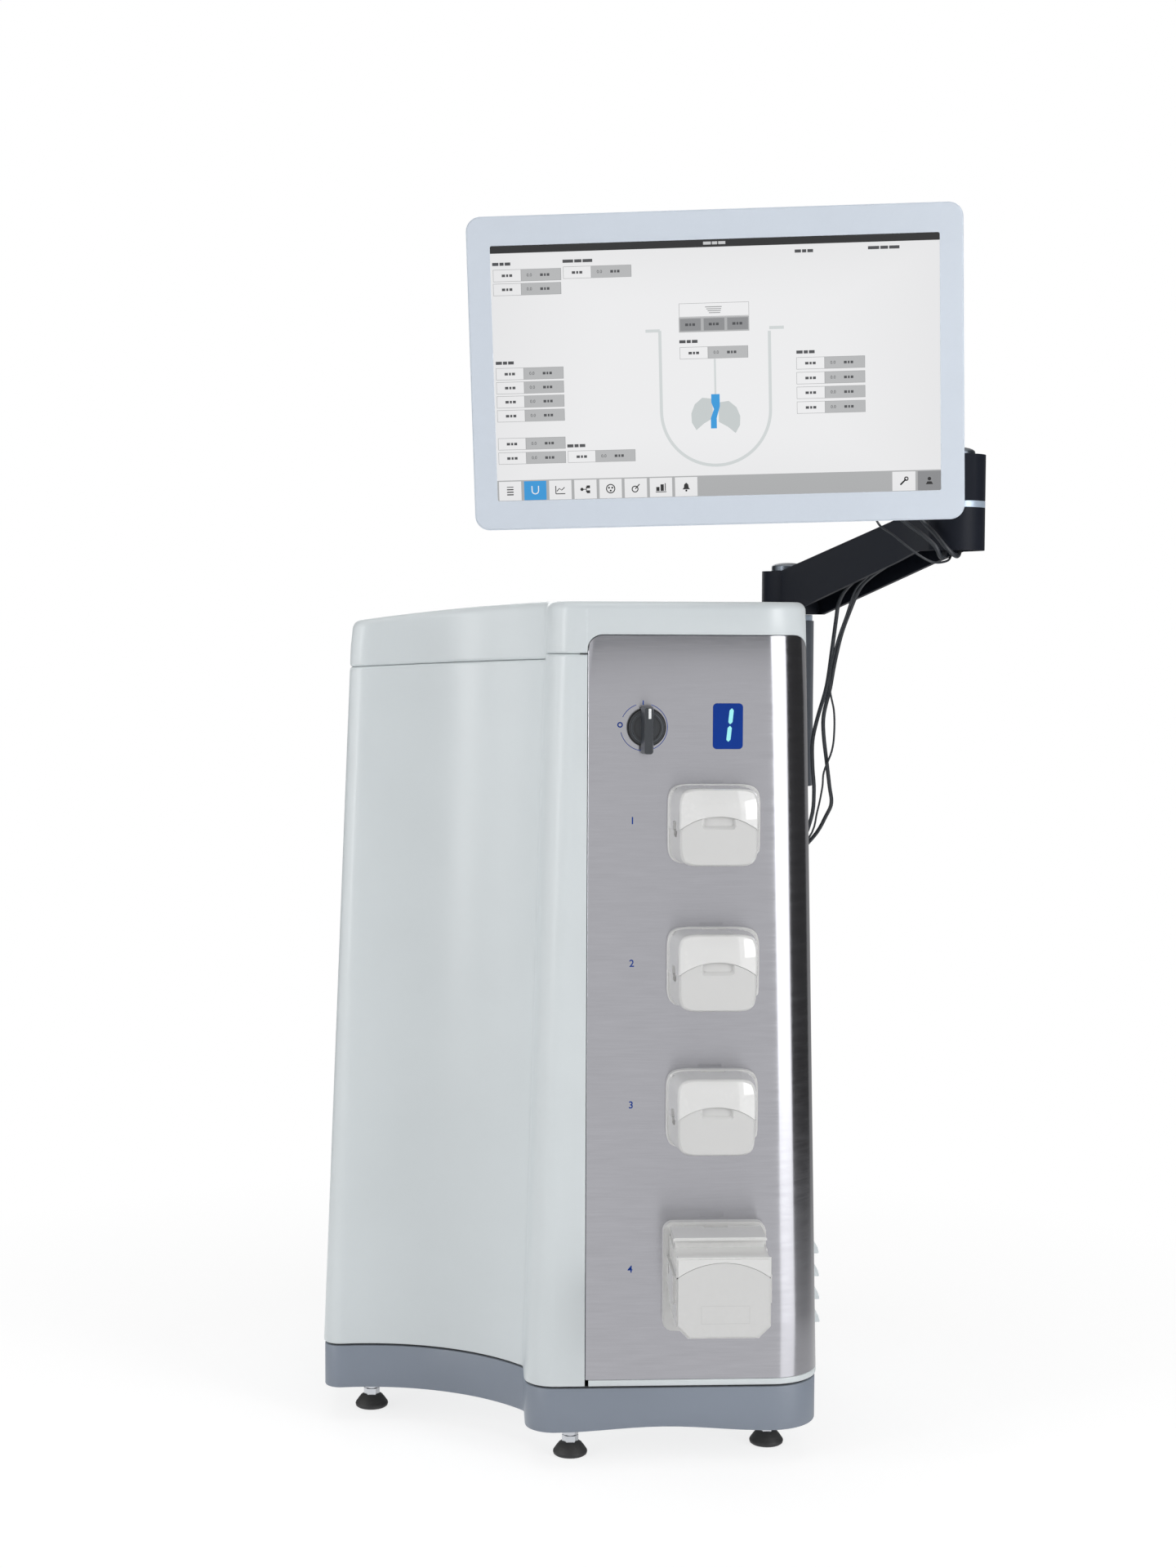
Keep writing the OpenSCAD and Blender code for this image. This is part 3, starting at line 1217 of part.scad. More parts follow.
module cable_glands() color([0.12, 0.12, 0.13]) for (g = glands) translate([g.x, 0, g.y]) {
    rod(gland_r, panel_plate_y - 6, panel_plate_y + panel_plate_t + 1);
    rod(gland_r + 2, panel_plate_y - 4, panel_plate_y);
    translate([0, panel_plate_y + panel_plate_t, 0]) rotate([-90, 0, 0]) hexagon(2 * gland_r + 3, 4);
    rod(gland_r + 0.5, panel_plate_y + panel_plate_t + 3, gland_end - 4);
    rotate([-90, 0, 0]) translate([0, 0, gland_end - 4]) cylinder(r1 = gland_r + 0.5, r2 = 3.6, h = 4);
}

// ---------- Inside the cabinet ----------

module power_supply() color([0.70, 0.71, 0.72]) translate([10, 130, plate_z + plate_t]) {
    cube([98, 180, 36]);
    for (x = [-7, 97], y = [20, 150]) translate([x, y, 0]) cube([8, 12, 2]);
}

board_y = 344;
module control_board() color([0.06, 0.32, 0.20]) {
    translate([-50, board_y, 380]) upright(200, 140, 3, 1.6);
    for (x = [-140, 40], z = [320, 440]) translate([x, 0, z]) rod(3, board_y + 1, panel_plate_y);
    for (c = [[-100, 400, 30, 30], [-40, 410, 22, 22], [10, 350, 40, 16], [-110, 345, 24, 40]])
        translate([c[0], board_y - 4, c[1]]) upright(c[2], c[3], 1, 4.5);
}

module gas_manifold() color([0.72, 0.73, 0.75]) difference() {
    union() {
        translate([(ports[0].x + ports[3].x) / 2, panel_plate_y - 30, ports[0].y]) upright(122, 26, 2, 30);
        for (p = ports) translate([p.x, 0, p.y]) {
            rod(port_r, panel_plate_y - 1, panel_plate_y + panel_plate_t + 2);
            rod(port_r - 1.5, panel_plate_y, panel_plate_y + panel_plate_t + 16);
            rotate([-90, 0, 0]) translate([0, 0, panel_plate_y + panel_plate_t + 11]) cylinder(r1 = 4.4, r2 = 3.2, h = 4);
        }
    }
    for (p = ports) translate([p.x, 0, p.y]) rod(2, panel_plate_y - 20, panel_plate_y + panel_plate_t + 20);
}

fan_y = panel_plate_y - fan_t;
hub_r = 15;
module at_fan() translate([fan.x, fan_y, fan.y]) children();
module fan_frame() color([0.12, 0.12, 0.13]) at_fan() difference() {
    union() {
        difference() {
            upright(fan_w, fan_w, 5, fan_t);
            rod(fan_hole_r, -1, fan_t + 1);
        }
        for (a = [30, 150, 270]) rotate([0, a, 0]) translate([0, 0, -2.5]) cube([fan_hole_r + 1, 3.5, 5]);
        rod(hub_r, 0, 5);
    }
    rod(2 + running, 1.5, 6);
}
module fan_rotor() color([0.16, 0.16, 0.17]) at_fan() {
    rod(hub_r, 5 + seat, fan_t - 3);
    rod(2, 2, 6);
    for (a = [0:360 / 7:359]) rotate([0, a, 0]) translate([hub_r - 2, 13.5, 0]) rotate([35, 0, 0])
        translate([0, -1, -7.5]) cube([fan_hole_r - hub_r + 0.5, 2, 15]);
}

module mains_inlet() color([0.11, 0.11, 0.12]) translate([inlet.x, 0, inlet.y]) difference() {
    union() {
        translate([0, panel_plate_y - 22, 0]) upright(inlet_w - 0.6, inlet_h - 0.6, 1.7, 23);
        translate([0, panel_plate_y + panel_plate_t, 0]) upright(50, inlet_h + 4, 4, 3);
        translate([0, panel_plate_y - 1, 0]) upright(inlet_w - 0.6, inlet_h - 0.6, 1.7, 5);
    }
    translate([0, panel_plate_y - 13, 0]) upright(inlet_w - 5, inlet_h - 6, 3, 30);
}

module screw(r, head_r, head_h, y0, y1) {
    rod(r, y0, y1 + 0.5);
    rod(head_r, y1, y1 + head_h);
}
module panel_screws() color([0.75, 0.76, 0.78]) {
    for (s = back_screws) translate([s.x, 0, s.y]) screw(screw_r, 3.2, 2, panel_plate_y - 1, cabinet_d);
    for (b = bracket_bolts) translate([b.x, 0, b.y]) screw(bolt_r, 4.5, 5, cabinet_d - wall - 6, cabinet_d + bracket_t);
}

// ---------- The part ----------

// Brings the front left foot to the origin
module at_foot() translate([-feet[0].x, -feet[0].y, 0]) children();

at_foot() base_skirt();
at_foot() base_plate();
at_foot() seam_gasket();
at_foot() body_shell();
at_foot() lid();
at_foot() front_panel();
at_foot() side_vent();
at_foot() back_panel();
at_foot() foot_pads();
at_foot() foot_spindles();
at_foot() foot_locknuts();
at_foot() switch_bezel();
at_foot() switch_knob();
at_foot() switch_block();
at_foot() display_window();
at_foot() digit_display();
for (i = [0:2]) {
    at_foot() small_body(i);
    at_foot() small_cover(i);
    at_foot() small_rotor(i);
    at_foot() small_motor(i);
}
at_foot() big_body();  // pump_4_body
at_foot() big_cover();  // pump_4_cover
at_foot() big_rotor();  // pump_4_rotor
at_foot() big_motor();  // pump_4_motor
at_foot() pole();
at_foot() pole_bracket();
at_foot() pole_washer();
at_foot() pole_cap();
at_foot() lower_arm();
at_foot() elbow_washer();
at_foot() elbow_bolt();
at_foot() upper_arm();
at_foot() head_swivel();
at_foot() tilt_knuckle();
at_foot() vesa_plate();
at_foot() monitor_back();
at_foot() monitor_bezel();
at_foot() touch_screen();
at_foot() cable_a_drop();
at_foot() cable_b_drop();
at_foot() cable_c_drop();
at_foot() cable_a_loop();
at_foot() cable_b_loop();
at_foot() cable_c_loop();
at_foot() cable_glands();
at_foot() power_supply();
at_foot() control_board();
at_foot() gas_manifold();
at_foot() fan_frame();
at_foot() fan_rotor();
at_foot() mains_inlet();
at_foot() panel_screws();
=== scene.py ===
# %% [markdown]
# Bench bioreactor control station: a tall moulded cabinet with a nook for the culture vessel, four
# tubing pump heads on a brushed steel front, a rotary main switch, a unit display, and a touch
# monitor on a jointed arm behind it. The CAD model is loaded as a fixed frame. Everything below
# either gives a CAD node its finish or builds a finer piece that stands for it.

# %% Load the frame
import math

import bmesh
import bpy
from mathutils import Matrix, Vector


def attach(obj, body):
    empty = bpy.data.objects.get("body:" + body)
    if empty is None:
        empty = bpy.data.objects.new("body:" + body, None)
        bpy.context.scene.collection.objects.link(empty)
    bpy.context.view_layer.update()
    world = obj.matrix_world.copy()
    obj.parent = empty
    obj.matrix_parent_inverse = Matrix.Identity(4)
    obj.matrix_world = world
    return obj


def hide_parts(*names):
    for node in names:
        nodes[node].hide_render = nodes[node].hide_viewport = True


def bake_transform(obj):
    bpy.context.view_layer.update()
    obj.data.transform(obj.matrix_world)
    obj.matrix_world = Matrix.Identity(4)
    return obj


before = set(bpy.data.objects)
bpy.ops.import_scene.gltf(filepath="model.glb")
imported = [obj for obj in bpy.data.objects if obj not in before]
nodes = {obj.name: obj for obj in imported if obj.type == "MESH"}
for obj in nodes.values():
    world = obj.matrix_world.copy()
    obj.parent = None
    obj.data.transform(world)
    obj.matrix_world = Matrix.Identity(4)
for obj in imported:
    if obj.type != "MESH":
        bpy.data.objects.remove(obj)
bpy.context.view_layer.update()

# %% [markdown]
# The workshop drawing measures the cabinet in millimetres from the left edge of the steel front
# and from the bench. The frame measures in metres from the middle of the front left foot. One
# small function turns the first into the second, so that every length below reads as on the
# drawing.

# %% Drawing measures to frame measures
FOOT = (11.0, -42.0)


def at(x, y, z):
    return Vector(((x + FOOT[0]) / 1000, (y + FOOT[1]) / 1000, z / 1000))


def mm(*lengths):
    return [length / 1000 for length in lengths] if len(lengths) > 1 else lengths[0] / 1000


print("left edge of the steel at the bench:", tuple(at(0, 0, 0)))

# %% [markdown]
# The camera is a product photographer's: a long lens from about two metres, a little left of the
# station and at the height of the cabinet's top, looking slightly down. A long lens keeps the
# cabinet's sides nearly upright, and the small roll is what a hand-set tripod leaves.

# %% Camera
camera_data = bpy.data.cameras.new("camera")
camera_data.lens = 56.25
camera_data.sensor_width = 36
camera_data.sensor_fit = "AUTO"
camera = bpy.data.objects.new("camera", camera_data)
bpy.context.scene.collection.objects.link(camera)
bpy.context.scene.camera = camera
turn, dip, roll = math.radians(2.9), math.radians(3.833), 0.0041
ahead = Vector((math.sin(turn) * math.cos(dip), math.cos(turn) * math.cos(dip), -math.sin(dip)))
across = ahead.cross(Vector((0, 0, 1))).normalized()
above = across.cross(ahead)
axes = Matrix((across, above, -ahead)).transposed() @ Matrix.Rotation(roll, 3, "Z")
camera.matrix_world = Matrix.Translation(at(-106, -2102, 744)) @ axes.to_4x4()
print("camera at", tuple(round(x, 3) for x in camera.location))

# %% [markdown]
# Three cables serve the monitor: power, video and the thinner touch lead. Each leaves the lower
# arm's hollow, hangs in a loop under the elbow, and from the arm drops behind the cabinet into a
# gland. A drop is a tube along a smooth curve through its points. The points are the ones that the
# CAD solids follow, so the cables hang where the solids do.

# %% Cable routes
DROPS = {
    "a": (4, [
        (319.8, 104.8, 812.5), (303, 168, 814), (290, 208, 802), (277, 247, 789), (267, 281, 776),
        (262, 299, 762), (260, 304, 744), (258, 314, 716), (255, 328, 679), (248, 340, 647),
        (244.6, 350, 623), (246, 358, 597), (249, 367, 572), (249, 384, 543), (238, 402, 512),
        (205, 416, 490), (150, 418, 478), (112, 414, 475), (98, 404, 475), (95, 390.2, 475)]),
    "b": (4, [
        (335.7, 106.7, 812.5), (311, 166, 814), (298, 203, 800), (284, 238, 787), (276, 260, 775),
        (267, 268, 751), (261, 278, 729), (257, 292, 701), (255, 304, 678), (251, 318, 651),
        (253, 331, 630), (259, 347, 600), (264, 361, 576), (268, 374, 559), (265, 388, 545),
        (253, 404, 520), (220, 424, 486), (160, 428, 465), (112, 420, 457), (98, 406, 457),
        (95, 390.2, 457)]),
    "c": (2, [
        (327.7, 106.7, 812.5), (307, 166, 809), (288, 195, 801), (279, 228, 787), (271, 254, 774),
        (264, 266, 748.5), (257.5, 276, 725), (253, 289, 698), (254, 298, 676), (260.5, 314, 655),
        (263, 327, 633), (262, 335, 614), (256, 347, 592), (257, 364, 575), (255, 384, 549),
        (247, 392, 520), (205, 396, 470), (140, 412, 452), (108, 408, 440), (97, 400, 439),
        (95, 390.2, 439)]),
}
LOOPS = {
    "a": (4, [
        (228, 22, 874), (246, 36, 862), (262, 50, 850), (273, 58, 840), (284.5, 60, 831),
        (298, 52, 820), (308, 46, 810), (314, 52, 801), (320, 66, 802), (323, 84, 810),
        (320, 104, 812.5)]),
    "b": (4, [
        (234, 12, 876), (258, 32, 862), (282, 52, 849), (294, 64, 840), (303, 70, 831),
        (312, 62, 820), (319, 56, 810), (328, 60, 802.5), (334, 72, 803), (338, 88, 810),
        (336, 106, 812.5)]),
    "c": (2, [
        (238, 6, 876), (246, 22, 862), (252, 40, 848), (255, 54, 838), (261, 58, 828),
        (271, 50, 820), (281, 44, 811), (293, 42, 802), (306, 46, 796), (318, 56, 796.5),
        (326, 70, 800), (330, 88, 808), (328, 106, 812.5)]),
}


def smooth_path(points, steps):
    """A Catmull-Rom curve through the points, with so many steps from each to the next."""
    p = [2 * points[0] - points[1], *points, 2 * points[-1] - points[-2]]
    path = []
    for i in range(1, len(p) - 2):
        for k in range(steps):
            t = k / steps
            path.append(0.5 * (2 * p[i] + (p[i + 1] - p[i - 1]) * t
                               + (2 * p[i - 1] - 5 * p[i] + 4 * p[i + 1] - p[i + 2]) * t * t
                               + (3 * p[i] - p[i - 1] - 3 * p[i + 1] + p[i + 2]) * t * t * t))
    return [*path, points[-1]]


print("cable routes:", len(DROPS), "drops and", len(LOOPS), "loops")

# %% [markdown]
# A tube is swept by carrying a small circle along the path without letting it twist. Carrying the
# frame from one point to the next, rather than computing it afresh, keeps the rings aligned, so
# the quads stay straight and the highlight along the cable runs clean.

# %% Sweep a tube
def mesh_piece(name, bm, material=None, smooth=True):
    mesh = bpy.data.meshes.new(name)
    bmesh.ops.recalc_face_normals(bm, faces=bm.faces)
    bm.to_mesh(mesh)
    bm.free()
    if smooth:
        mesh.shade_smooth()
    piece = bpy.data.objects.new(name, mesh)
    bpy.context.scene.collection.objects.link(piece)
    if material:
        mesh.materials.append(material)
    return piece


CABLE_SIDES = 14


def sweep(bm, path, radius):
    side, rings = None, []
    for i, point in enumerate(path):
        heading = (path[min(i + 1, len(path) - 1)] - path[max(i - 1, 0)]).normalized()
        side = heading.orthogonal() if side is None else side - heading * side.dot(heading)
        side.normalize()
        other = heading.cross(side)
        rings.append([bm.verts.new(point + radius * (math.cos(a) * side + math.sin(a) * other))
                      for a in (2 * math.pi * k / CABLE_SIDES for k in range(CABLE_SIDES))])
    for low, high in zip(rings, rings[1:]):
        for k in range(CABLE_SIDES):
            bm.faces.new((low[k], low[(k + 1) % CABLE_SIDES], high[(k + 1) % CABLE_SIDES], high[k]))
    bm.faces.new(rings[0][::-1])
    bm.faces.new(rings[-1])


def lay_cable(name, node, diameter, points):
    path = smooth_path([at(*p) for p in points], 5)
    bm = bmesh.new()
    sweep(bm, path, mm(diameter) / 2)
    cable = mesh_piece(name, bm)
    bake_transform(cable)
    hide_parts(node)
    length = sum((b - a).length for a, b in zip(path, path[1:]))
    print(name, "is", round(length * 1000), "mm long")
    return cable, path, length


cables = []
for routes, place, solid, bodies, start, end, stiffness in (
        (DROPS, "hanging", "drop", ("lower_arm", "cabinet"), at(270, 270, 740), at(250, 350, 560),
         "medium"),
        (LOOPS, "elbow", "loop", ("upper_arm", "lower_arm"), at(262, 44, 866), at(330, 90, 812),
         "limp")):
    for key, (diameter, points) in routes.items():
        cable, path, length = lay_cable(
            f"cable_{key}_{place}", f"cable_{key}_{solid}", diameter, points)
        cables.append(cable)

# %% [markdown]
# Materials come next. Colours are written as a designer would pick them from a paint card, in
# screen values from 0 to 255, and turned into the linear light that the renderer works in. The
# `put` helper adds a node and wires it in one line, so that each finish reads as a recipe.

# %% Node helpers
def paint(red, green, blue):
    linear = [((c / 255 + 0.055) / 1.055) ** 2.4 if c > 10 else c / 255 / 12.92
              for c in (red, green, blue)]
    return (*linear, 1)


def put(tree, kind, inputs=None, **settings):
    node = tree.nodes.new("ShaderNode" + kind)
    for name, value in settings.items():
        setattr(node, name, value)
    for name, value in (inputs or {}).items():
        if isinstance(value, bpy.types.NodeSocket):
            tree.links.new(value, node.inputs[name])
        else:
            node.inputs[name].default_value = value
    return node


def calc(tree, operation, first, second, **settings):
    """The socket with the result of one sum."""
    done = put(tree, "Math", {0: first, 1: second}, operation=operation, **settings)
    return done.outputs["Value"]


def remap(tree, value, low=0.0, high=1.0, to_low=0.0, to_high=1.0):
    """The socket with a value carried from one range to another, and held within it."""
    return put(tree, "MapRange", {
        "Value": value, "From Min": low, "From Max": high, "To Min": to_low,
        "To Max": to_high}).outputs["Result"]


def noise(tree, place, per_m, detail, **more):
    return put(tree, "TexNoise", {
        "Vector": place, "Scale": per_m, "Detail": detail, **more}).outputs["Fac"]


def relief(tree, height, strength, depth):
    """The normal of a surface with this height on it, depth in millimetres."""
    return put(tree, "Bump", {
        "Height": height, "Strength": strength, "Distance": mm(depth)}).outputs["Normal"]


def shine(tree, strength, kind="Emission"):
    """The socket of a plain white light source."""
    return put(tree, kind, {"Color": (1, 1, 1, 1), "Strength": strength}).outputs[kind]


def blend_of(tree, share, first, second):
    """The socket with a mixture of two colours."""
    return put(tree, "Mix", {"Factor": share, 6: first, 7: second}, data_type="RGBA").outputs[2]


def scaled(colour, factor):
    return [min(1, c * factor) for c in colour[:3]] + [1]


def new_material(name, **inputs):
    """A material, its tree and its shader, with inputs such as Coat_Weight set."""
    material = bpy.data.materials.new(name)
    material.use_nodes = True
    shader = material.node_tree.nodes["Principled BSDF"]
    for socket, value in inputs.items():
        shader.inputs[socket.replace("_", " ")].default_value = value
    return material, material.node_tree, shader


def new_group(name, inputs, outputs):
    """A node group with float sockets: inputs {name: default}, outputs [name]."""
    group = bpy.data.node_groups.new(name, "ShaderNodeTree")
    for socket, value in inputs.items():
        made = group.interface.new_socket(socket, in_out="INPUT", socket_type="NodeSocketFloat")
        made.default_value = value
    for socket in outputs:
        group.interface.new_socket(socket, in_out="OUTPUT", socket_type="NodeSocketFloat")
    return group, group.nodes.new("NodeGroupInput"), group.nodes.new("NodeGroupOutput")


def use(tree, group, **values):
    node = tree.nodes.new("ShaderNodeGroup")
    node.node_tree = group
    for name, value in values.items():
        node.inputs[name.replace("_", " ")].default_value = value
    return node


print("paint(128, 128, 128) is", round(paint(128, 128, 128)[0], 3), "in linear light")

# %% [markdown]
# Moulded and painted surfaces are never quite flat: paint dries with a fine orange peel, and a
# moulding is a little uneven over centimetres. The group measures both from the piece's own
# coordinates, in metres, so the grain is the same size on a small cap and on the tall cabinet. It
# puts out a height for the bump and a mottle, from 0 to 1, that varies the colour and gloss.

# %% Group: moulded skin
moulded, group_in, group_out = new_group("moulded skin", {"Peel per m": 700.0, "Mottle per m": 9.0},
                                         ["Height", "Mottle"])
place = put(moulded, "TexCoord").outputs["Object"]
peel = noise(moulded, place, group_in.outputs["Peel per m"], 2.0)
wave = noise(moulded, place, group_in.outputs["Mottle per m"], 4.0, Roughness=0.55)
moulded.links.new(peel, group_out.inputs["Height"])
moulded.links.new(remap(moulded, wave, 0.3, 0.7), group_out.inputs["Mottle"])
print("group:", moulded.name)

# %% [markdown]
# Handling leaves its marks in two ways. Dust settles on what faces up, and the edges of a part
# are rubbed a little brighter. The dust mask looks at the surface's slope and breaks it up with
# noise. The wear mask reads how sharply the mesh turns at each vertex.

# %% Groups: dust and edge wear
dusty, group_in, group_out = new_group("dust", {"Amount": 0.2, "Patch per m": 35.0}, ["Mask"])
slope = put(dusty, "SeparateXYZ", {"Vector": put(dusty, "NewGeometry").outputs["Normal"]})
facing_up = remap(dusty, slope.outputs["Z"], 0.2, 1.0)
patches = noise(dusty, put(dusty, "TexCoord").outputs["Object"], group_in.outputs["Patch per m"],
                5.0, Roughness=0.65)
patchy = calc(dusty, "MULTIPLY", facing_up, patches)
settled = calc(dusty, "MULTIPLY", patchy, group_in.outputs["Amount"])
dusty.links.new(settled, group_out.inputs["Mask"])

worn, group_in, group_out = new_group("edge wear", {"Amount": 0.5, "Chip per m": 260.0}, ["Mask"])
turned = remap(worn, put(worn, "NewGeometry").outputs["Pointiness"], 0.53, 0.62)
chips = noise(worn, put(worn, "TexCoord").outputs["Object"], group_in.outputs["Chip per m"], 3.0)
rubbed = calc(worn, "MULTIPLY", turned, remap(worn, chips, 0.35, 0.65))
worn.links.new(calc(worn, "MULTIPLY", rubbed, group_in.outputs["Amount"]), group_out.inputs["Mask"])
print("groups:", dusty.name, "and", worn.name)

# %% [markdown]
# Brushed metal is a noise drawn out into streaks along the brushing. Two layers are laid over each
# other: fine scratches, and broader bands where the belt ran a little heavier.

# %% Group: brushing
brushed, group_in, group_out = new_group("brushing", {"Along per m": 26.0, "Across per m": 1400.0},
                                         ["Height", "Streak"])
spot = put(brushed, "SeparateXYZ", {"Vector": put(brushed, "TexCoord").outputs["Object"]})
run = calc(brushed, "ADD", spot.outputs["X"], spot.outputs["Y"])
along = calc(brushed, "MULTIPLY", run, group_in.outputs["Along per m"])
cross = calc(brushed, "MULTIPLY", spot.outputs["Z"], group_in.outputs["Across per m"])


def streaks_of(across_sheet, detail):
    drawn_out = put(brushed, "CombineXYZ", {"X": along, "Z": across_sheet}).outputs["Vector"]
    return noise(brushed, drawn_out, 1.0, detail)


BAND_SHARE = 0.12
fine = streaks_of(cross, 3.0)
broad = streaks_of(calc(brushed, "MULTIPLY", cross, BAND_SHARE), 2.0)
both = calc(brushed, "ADD", fine, broad)
brushed.links.new(fine, group_out.inputs["Height"])
brushed.links.new(calc(brushed, "MULTIPLY", both, 0.5), group_out.inputs["Streak"])
print("group:", brushed.name)

# %% [markdown]
# A pump head's face is not flat but swells a little, which gathers a lamp's reflection into one
# patch. This group gives the swelling's height over the piece's own box.

# %% Group: crowned face
crowned, group_in, group_out = new_group("crowned face", {}, ["Height"])
share = put(crowned, "SeparateXYZ", {"Vector": put(crowned, "TexCoord").outputs["Generated"]})
squares = []
for axis, middle, reach, weight in (("X", 0.5, 0.5, 1.0), ("Z", 0.1, 0.9, 0.6)):
    off = calc(crowned, "SUBTRACT", share.outputs[axis], middle)
    square = calc(crowned, "POWER", calc(crowned, "DIVIDE", off, reach), 2.0)
    squares.append(calc(crowned, "MULTIPLY", square, weight))
swell = calc(crowned, "SUBTRACT", 1.0, calc(crowned, "ADD", *squares))
crowned.links.new(swell, group_out.inputs["Height"])
print("group:", crowned.name)

# %% [markdown]
# Most parts of the station are painted, moulded or plated, and share one recipe. The colour is
# darkened and lightened by the mottle, lifted by dust and by worn edges, and the gloss follows the
# mottle and the dust, which dulls it. What differs from part to part are the numbers.

# %% Recipe: a coated part
def coated(name, colour, rough, metal=0.0, coat=0.0, peel=700.0, bump=0.02, vary=0.05, dust=0.12,
           wear=0.25, gleam=0.5, crown=0.0):
    material, tree, shader = new_material(
        name, Metallic=metal, Coat_Weight=coat, Coat_Roughness=0.05, Specular_IOR_Level=gleam)
    skin = use(tree, moulded, Peel_per_m=peel)
    dust_mask = use(tree, dusty, Amount=dust).outputs["Mask"]
    wear_mask = use(tree, worn, Amount=wear).outputs["Mask"]
    shade = blend_of(tree, skin.outputs["Mottle"], scaled(colour, 1 - vary),
                     scaled(colour, 1 + vary))
    bare = [min(1, 1.35 * c + 0.04) for c in colour[:3]] + [1]
    edge = blend_of(tree, wear_mask, shade, bare)
    dusted = blend_of(tree, dust_mask, edge, paint(196, 192, 184))
    gloss = remap(tree, skin.outputs["Mottle"], to_low=rough * 0.88, to_high=rough * 1.12)
    dulled = calc(tree, "ADD", gloss, dust_mask, use_clamp=True)
    tree.links.new(relief(tree, skin.outputs["Height"], 0.35, bump), shader.inputs["Normal"])
    tree.links.new(dusted, shader.inputs["Base Color"])
    tree.links.new(dulled, shader.inputs["Roughness"])
    if crown:
        domed = relief(tree, use(tree, crowned).outputs["Height"], 1.0, crown)
        tree.links.new(domed, shader.inputs["Coat Normal"])
    return material


shell_white = coated(
    "light grey cabinet paint", paint(207, 213, 215), 0.32, peel=900, bump=0.03, vary=0.015,
    dust=0.05, wear=0.15)
skirt_grey = coated(
    "slate skirt moulding", paint(125, 133, 145), 0.45, peel=600, bump=0.05, vary=0.03)
gasket_black = coated("black foam gasket", paint(46, 48, 50), 0.85, peel=1500, bump=0.15, vary=0.1)
pad_rubber = coated(
    "black foot rubber", paint(30, 30, 32), 0.55, peel=1100, bump=0.06, vary=0.1, wear=0.5)
zinc_plate = coated(
    "bright zinc plate", paint(196, 199, 204), 0.24, metal=1.0, peel=1500, bump=0.02, vary=0.06)
sheet_steel = coated(
    "galvanised sheet", paint(166, 170, 174), 0.42, metal=0.9, peel=300, bump=0.02, vary=0.12)
switch_black = coated(
    "black switch plastic", paint(13, 14, 16), 0.25, coat=0.1, peel=900, bump=0.02, vary=0.08,
    wear=0.1, dust=0.03, gleam=0.35)
knob_slate = coated(
    "slate knob plastic", paint(38, 42, 47), 0.32, coat=0.15, peel=900, bump=0.02, vary=0.08)
COVER = dict(peel=260, bump=0.0015, vary=0.005, dust=0.02, wear=0.1, gleam=0.2)
pump_white = coated("glossy cover plastic", paint(214, 214, 213), 0.2, coat=1.0, crown=9.0, **COVER)
visor_white = coated("glossy visor plastic", paint(214, 214, 213), 0.2, coat=0.8, **COVER)
pump_grey = coated(
    "satin pump plastic", paint(203, 203, 202), 0.2, coat=0.2, peel=260, bump=0.002, vary=0.006,
    dust=0.02, wear=0.1)
rotor_grey = coated("grey rotor plastic", paint(96, 101, 108), 0.4, peel=900, bump=0.02)
motor_dark = coated("dark motor paint", paint(62, 64, 68), 0.5, peel=1200, bump=0.04)
board_green = coated(
    "green circuit board", paint(24, 84, 52), 0.35, coat=0.3, peel=2000, bump=0.03, vary=0.2)
pole_grey = coated(
    "satin pole coating", paint(104, 110, 118), 0.34, metal=0.6, peel=1500, bump=0.02)
arm_black = coated(
    "black arm paint", paint(25, 28, 36), 0.48, peel=1500, bump=0.03, vary=0.05, dust=0.01,
    wear=0.08, gleam=0.1)
washer_blue = coated(
    "pale bearing washer", paint(168, 182, 198), 0.38, metal=0.3, peel=900, bump=0.01)
cap_metal = coated("dark bolt head", paint(86, 92, 100), 0.3, metal=0.8, peel=1500, bump=0.02)
bezel_light = coated(
    "light blue grey monitor plastic", paint(200, 208, 218), 0.4, peel=1300, bump=0.03, vary=0.015,
    dust=0.04, wear=0.1)
cable_dark = coated("dark cable sheath", paint(34, 38, 44), 0.42, peel=900, bump=0.03, vary=0.08)
glass_black = coated(
    "dark touch glass", paint(14, 15, 17), 0.08, coat=0.5, peel=300, bump=0.003, vary=0.1,
    dust=0.02, wear=0.0)
alu = coated("bead blasted aluminium", paint(186, 189, 194), 0.4, metal=0.9, peel=2000, bump=0.03)
print("coated finishes:", len(bpy.data.materials))
for cable in cables:
    cable.data.materials.append(cable_dark)

# %% [markdown]
# The front is stainless sheet, brushed sideways. The streaks tilt the surface up and down, which
# smears reflections vertically, and vary the gloss. Anisotropy is a plain number on the shader:
# it is the same all over the sheet.

# %% Brushed steel
def brushed_steel(name, colour, rough, streak_light):
    material, tree, shader = new_material(
        name, Metallic=1.0, Anisotropic=0.8, Anisotropic_Rotation=0.25)
    along_sheet = put(tree, "Tangent", direction_type="RADIAL", axis="Z")
    tree.links.new(along_sheet.outputs["Tangent"], shader.inputs["Tangent"])
    streaks = use(tree, brushed)
    skin = use(tree, moulded, Mottle_per_m=5.0)
    shade = blend_of(tree, streaks.outputs["Streak"], scaled(colour, 1 - streak_light),
                     scaled(colour, 1 + streak_light))
    gloss = remap(tree, streaks.outputs["Streak"], 0.3, 0.7, rough - 0.05, rough + 0.05)
    cloudy = remap(tree, skin.outputs["Mottle"], to_low=-0.03, to_high=0.03)
    total = calc(tree, "ADD", gloss, cloudy)
    tree.links.new(relief(tree, streaks.outputs["Height"], 0.15, 0.006), shader.inputs["Normal"])
    tree.links.new(shade, shader.inputs["Base Color"])
    tree.links.new(total, shader.inputs["Roughness"])
    return material


